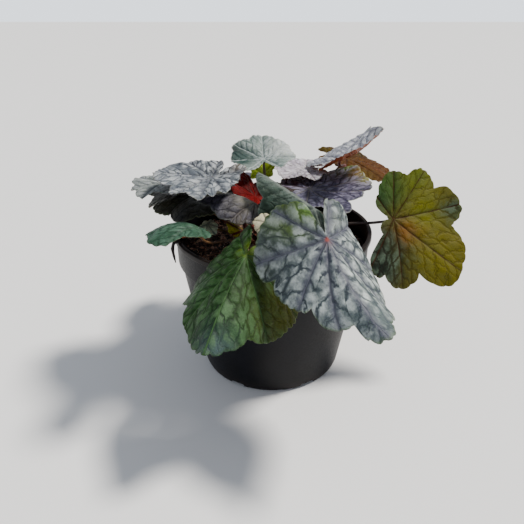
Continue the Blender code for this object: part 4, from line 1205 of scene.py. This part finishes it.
makeLeaf(dict(
    name="leaf_purple", slot="leaf_slate", joint=(25, 18, 119), heading=9, pitch=1, roll=2, size=41,
    cell=0.95, across=(5, 0), creases=(-2, 3), droop=-21, back=6, root=(30, 9.5),
    edge=[(-165, 0.3), (-150, 0.6), (-128, 0.58), (-108, 0.72), (-88, 0.68), (-67, 1.02), (-54, 0.8),
          (-42, 0.97), (-33, 0.9), (-24, 1.03), (0, 0.98), (12, 0.98), (29, 1.07), (53, 0.76), (75, 0.6),
          (98, 0.7), (124, 0.6), (148, 0.5), (168, 0.3)],
    veins=(-150, -108, -67, -28, 0, 29, 60, 98, 140),
    # depth is raised to lighten this blade where it lies in shade: painted light.
    depth=1.0, base=(86, 84, 104), silver=(164, 162, 178), vein=(44, 36, 56), mainVein=(142, 138, 136),
    mottled=0.75, netStrength=0.6,
    spots=((33, 0.98, 12, (98, 118, 12)), (12, 0.95, 9, (128, 106, 24)), (60, 0.6, 11, (96, 44, 24)),
           (120, 0.5, 12, (96, 54, 46)), (-4, 1.0, 6, (150, 150, 40))), under=(110, 70, 90),
    underVein=(140, 120, 120), stalk=((150, 60, 60), (150, 90, 90))))
makeLeaf(dict(
    name="leaf_back_right", slot="leaf_pale", joint=(46, 30, 136), heading=13, pitch=21, roll=13, size=41,
    cell=0.95, across=(23, -20), creases=(15, -30), droop=-32, back=-8, root=(40, 14.5),
    via=((52, 54, 121),),
    edge=lobedEdge([(-139, 0.6), (-85, 0.92), (-46, 0.88), (0, 0.88), (48, 1.0), (92, 0.75), (139, 0.64)]),
    veinStrength=0.5,
    depth=0.85, base=(158, 160, 170), silver=(226, 228, 232), vein=(100, 98, 110),
    mainVein=(200, 200, 206), haloStrength=0.2, quilt=0.9,
    spots=((0, 0.95, 10, (84, 82, 84)),), under=(140, 76, 20), underVein=(150, 92, 44),
    stalk=((150, 60, 60), (196, 120, 120))))
makeLeaf(dict(
    name="leaf_rust", slot="leaf_rust", joint=(59, 88, 119), heading=0, pitch=-12, roll=-6, size=41,
    cell=1.0, across=(4, 20), creases=(-6, 0), droop=17, back=15, root=(62, 14.5), via=((38, 52, 108),),
    edge=lobedEdge([(-145, 0.7), (-95, 0.84), (-58, 1.0), (6, 0.98), (52, 0.94), (97, 0.8), (140, 0.64)]),
    gloss=0.1,
    depth=0.5, base=(122, 80, 2), silver=(134, 104, 12), vein=(66, 36, 4), mainVein=(136, 84, 12),
    mottled=0.4, quilt=0.8,
    spots=((150, 0.55, 20, (108, 98, 8)), (-20, 0.8, 14, (128, 80, 10)), (-70, 0.8, 12, (118, 96, 8)),
           (60, 0.7, 12, (84, 72, 20))), under=(130, 70, 50), underVein=(160, 110, 80),
    stalk=((150, 60, 60), (160, 100, 80))))
makeLeaf(dict(
    name="leaf_lilac", slot="leaf_pale", joint=(24, 46.5, 125.5), heading=183, pitch=4, roll=0, size=28,
    cell=0.85, across=(14, 7), creases=(-2, 2), droop=10, root=(75, 9.5), via=((20, 42, 106),), arrive=90,
    depth=0.9, base=(190, 184, 194), silver=(232, 230, 236), vein=(132, 120, 128),
    mainVein=(214, 210, 212), haloStrength=0.15, quilt=0.8,
    spots=((150, 0.5, 9, (140, 110, 90)), (90, 0.7, 8, (120, 112, 120))), under=(150, 110, 110),
    underVein=(180, 160, 150), stalk=((150, 60, 60), (160, 100, 90))))
makeLeaf(dict(
    name="leaf_tiny", slot="leaf_pale", joint=(-40, -32, 115), heading=-33, pitch=-35, roll=10, size=8,
    cell=0.5, across=(11, 8), creases=(2, -4), droop=14, root=(205, 14.5),
    edge=fiveLobes, veins=fiveVeins,
    # depth is raised past the blade's colour to make up for the shade it lies in: painted light.
    depth=1.6, base=(150, 156, 140), silver=(190, 196, 184), vein=(96, 104, 84), under=(150, 150, 110),
    underVein=(170, 170, 130), stalk=((130, 80, 50), (150, 140, 90)), mottled=0.5, haloStrength=0.5))
makeLeaf(dict(
    name="leaf_curl", slot="leaf_pale", solid=False, joint=(-4, -50, 124), heading=160, pitch=8, roll=-34,
    size=9, cell=0.55, across=(30, 26), creases=(4, 4), droop=24, root=(278, 14.5),
    edge=fiveLobes, veins=fiveVeins,
    depth=0.95, base=(214, 208, 184), silver=(236, 232, 216), vein=(186, 180, 154), stalkScale=0.8,
    under=(170, 170, 110), underVein=(180, 180, 130), stalk=((110, 60, 44), (150, 140, 90)), mottled=0.5,
    haloStrength=0.5))
makeLeaf(dict(
    name="leaf_young", slot="leaf_lime", solid=False, joint=(-19, -21, 106), heading=176, pitch=32,
    roll=-20, size=12, cell=0.6, across=(20, 20), creases=(38, 30), droop=10, root=(239, 14.5),
    edge=spindleLobes, veins=fiveVeins,
    depth=1.1, base=(150, 148, 24), silver=(176, 176, 70), vein=(110, 60, 20), mainVein=(84, 14, 18),
    mainStrength=0.95, mainWidth=1.6, mottled=0.3, haloStrength=0.2, stalkScale=0.8, under=(150, 140, 50),
    underVein=(120, 50, 30), stalk=((110, 50, 40), (130, 80, 40))))
makeLeaf(dict(
    name="leaf_rear", slot="leaf_green", joint=(8, 68, 105), heading=85, pitch=-22, roll=5, size=32,
    across=(15, 15), creases=(5, 5), droop=35, back=0, root=(84, 14.5),
    depth=0.5, base=(50, 82, 40), silver=(134, 152, 130), vein=(30, 54, 32), mainVein=(104, 136, 92),
    spots=((60, 0.8, 12, (100, 104, 20)),), under=(120, 90, 80), underVein=(150, 140, 110),
    stalk=((150, 62, 50), (130, 130, 60))))
makeLeaf(dict(
    name="leaf_rear_left", slot="leaf_silver", joint=(-39, 59, 107), heading=135, pitch=-20, roll=0,
    size=33, across=(12, 18), creases=(8, 5), droop=35, back=0, root=(134, 14.5),
    depth=0.75, base=(84, 100, 98), silver=(196, 206, 206), vein=(40, 48, 58), mainVein=(118, 124, 134),
    mottled=0.95, haloStrength=0.7, haloWidth=5.0, under=(120, 96, 100), underVein=(150, 140, 120),
    stalk=((150, 60, 50), (120, 120, 60))))
makeLeaf(dict(
    name="leaf_rear_small", slot="leaf_slate", joint=(-22, 38, 121), heading=120, pitch=-8, roll=-8,
    size=21, cell=0.85, across=(12, 12), creases=(5, 5), droop=20, back=5, root=(109, 14.5),
    depth=0.7, base=(84, 80, 98), silver=(150, 148, 162), vein=(52, 48, 64), mainVein=(140, 136, 144),
    mottled=0.7, under=(120, 80, 90), underVein=(150, 130, 130), stalk=((150, 60, 60), (140, 90, 80))))
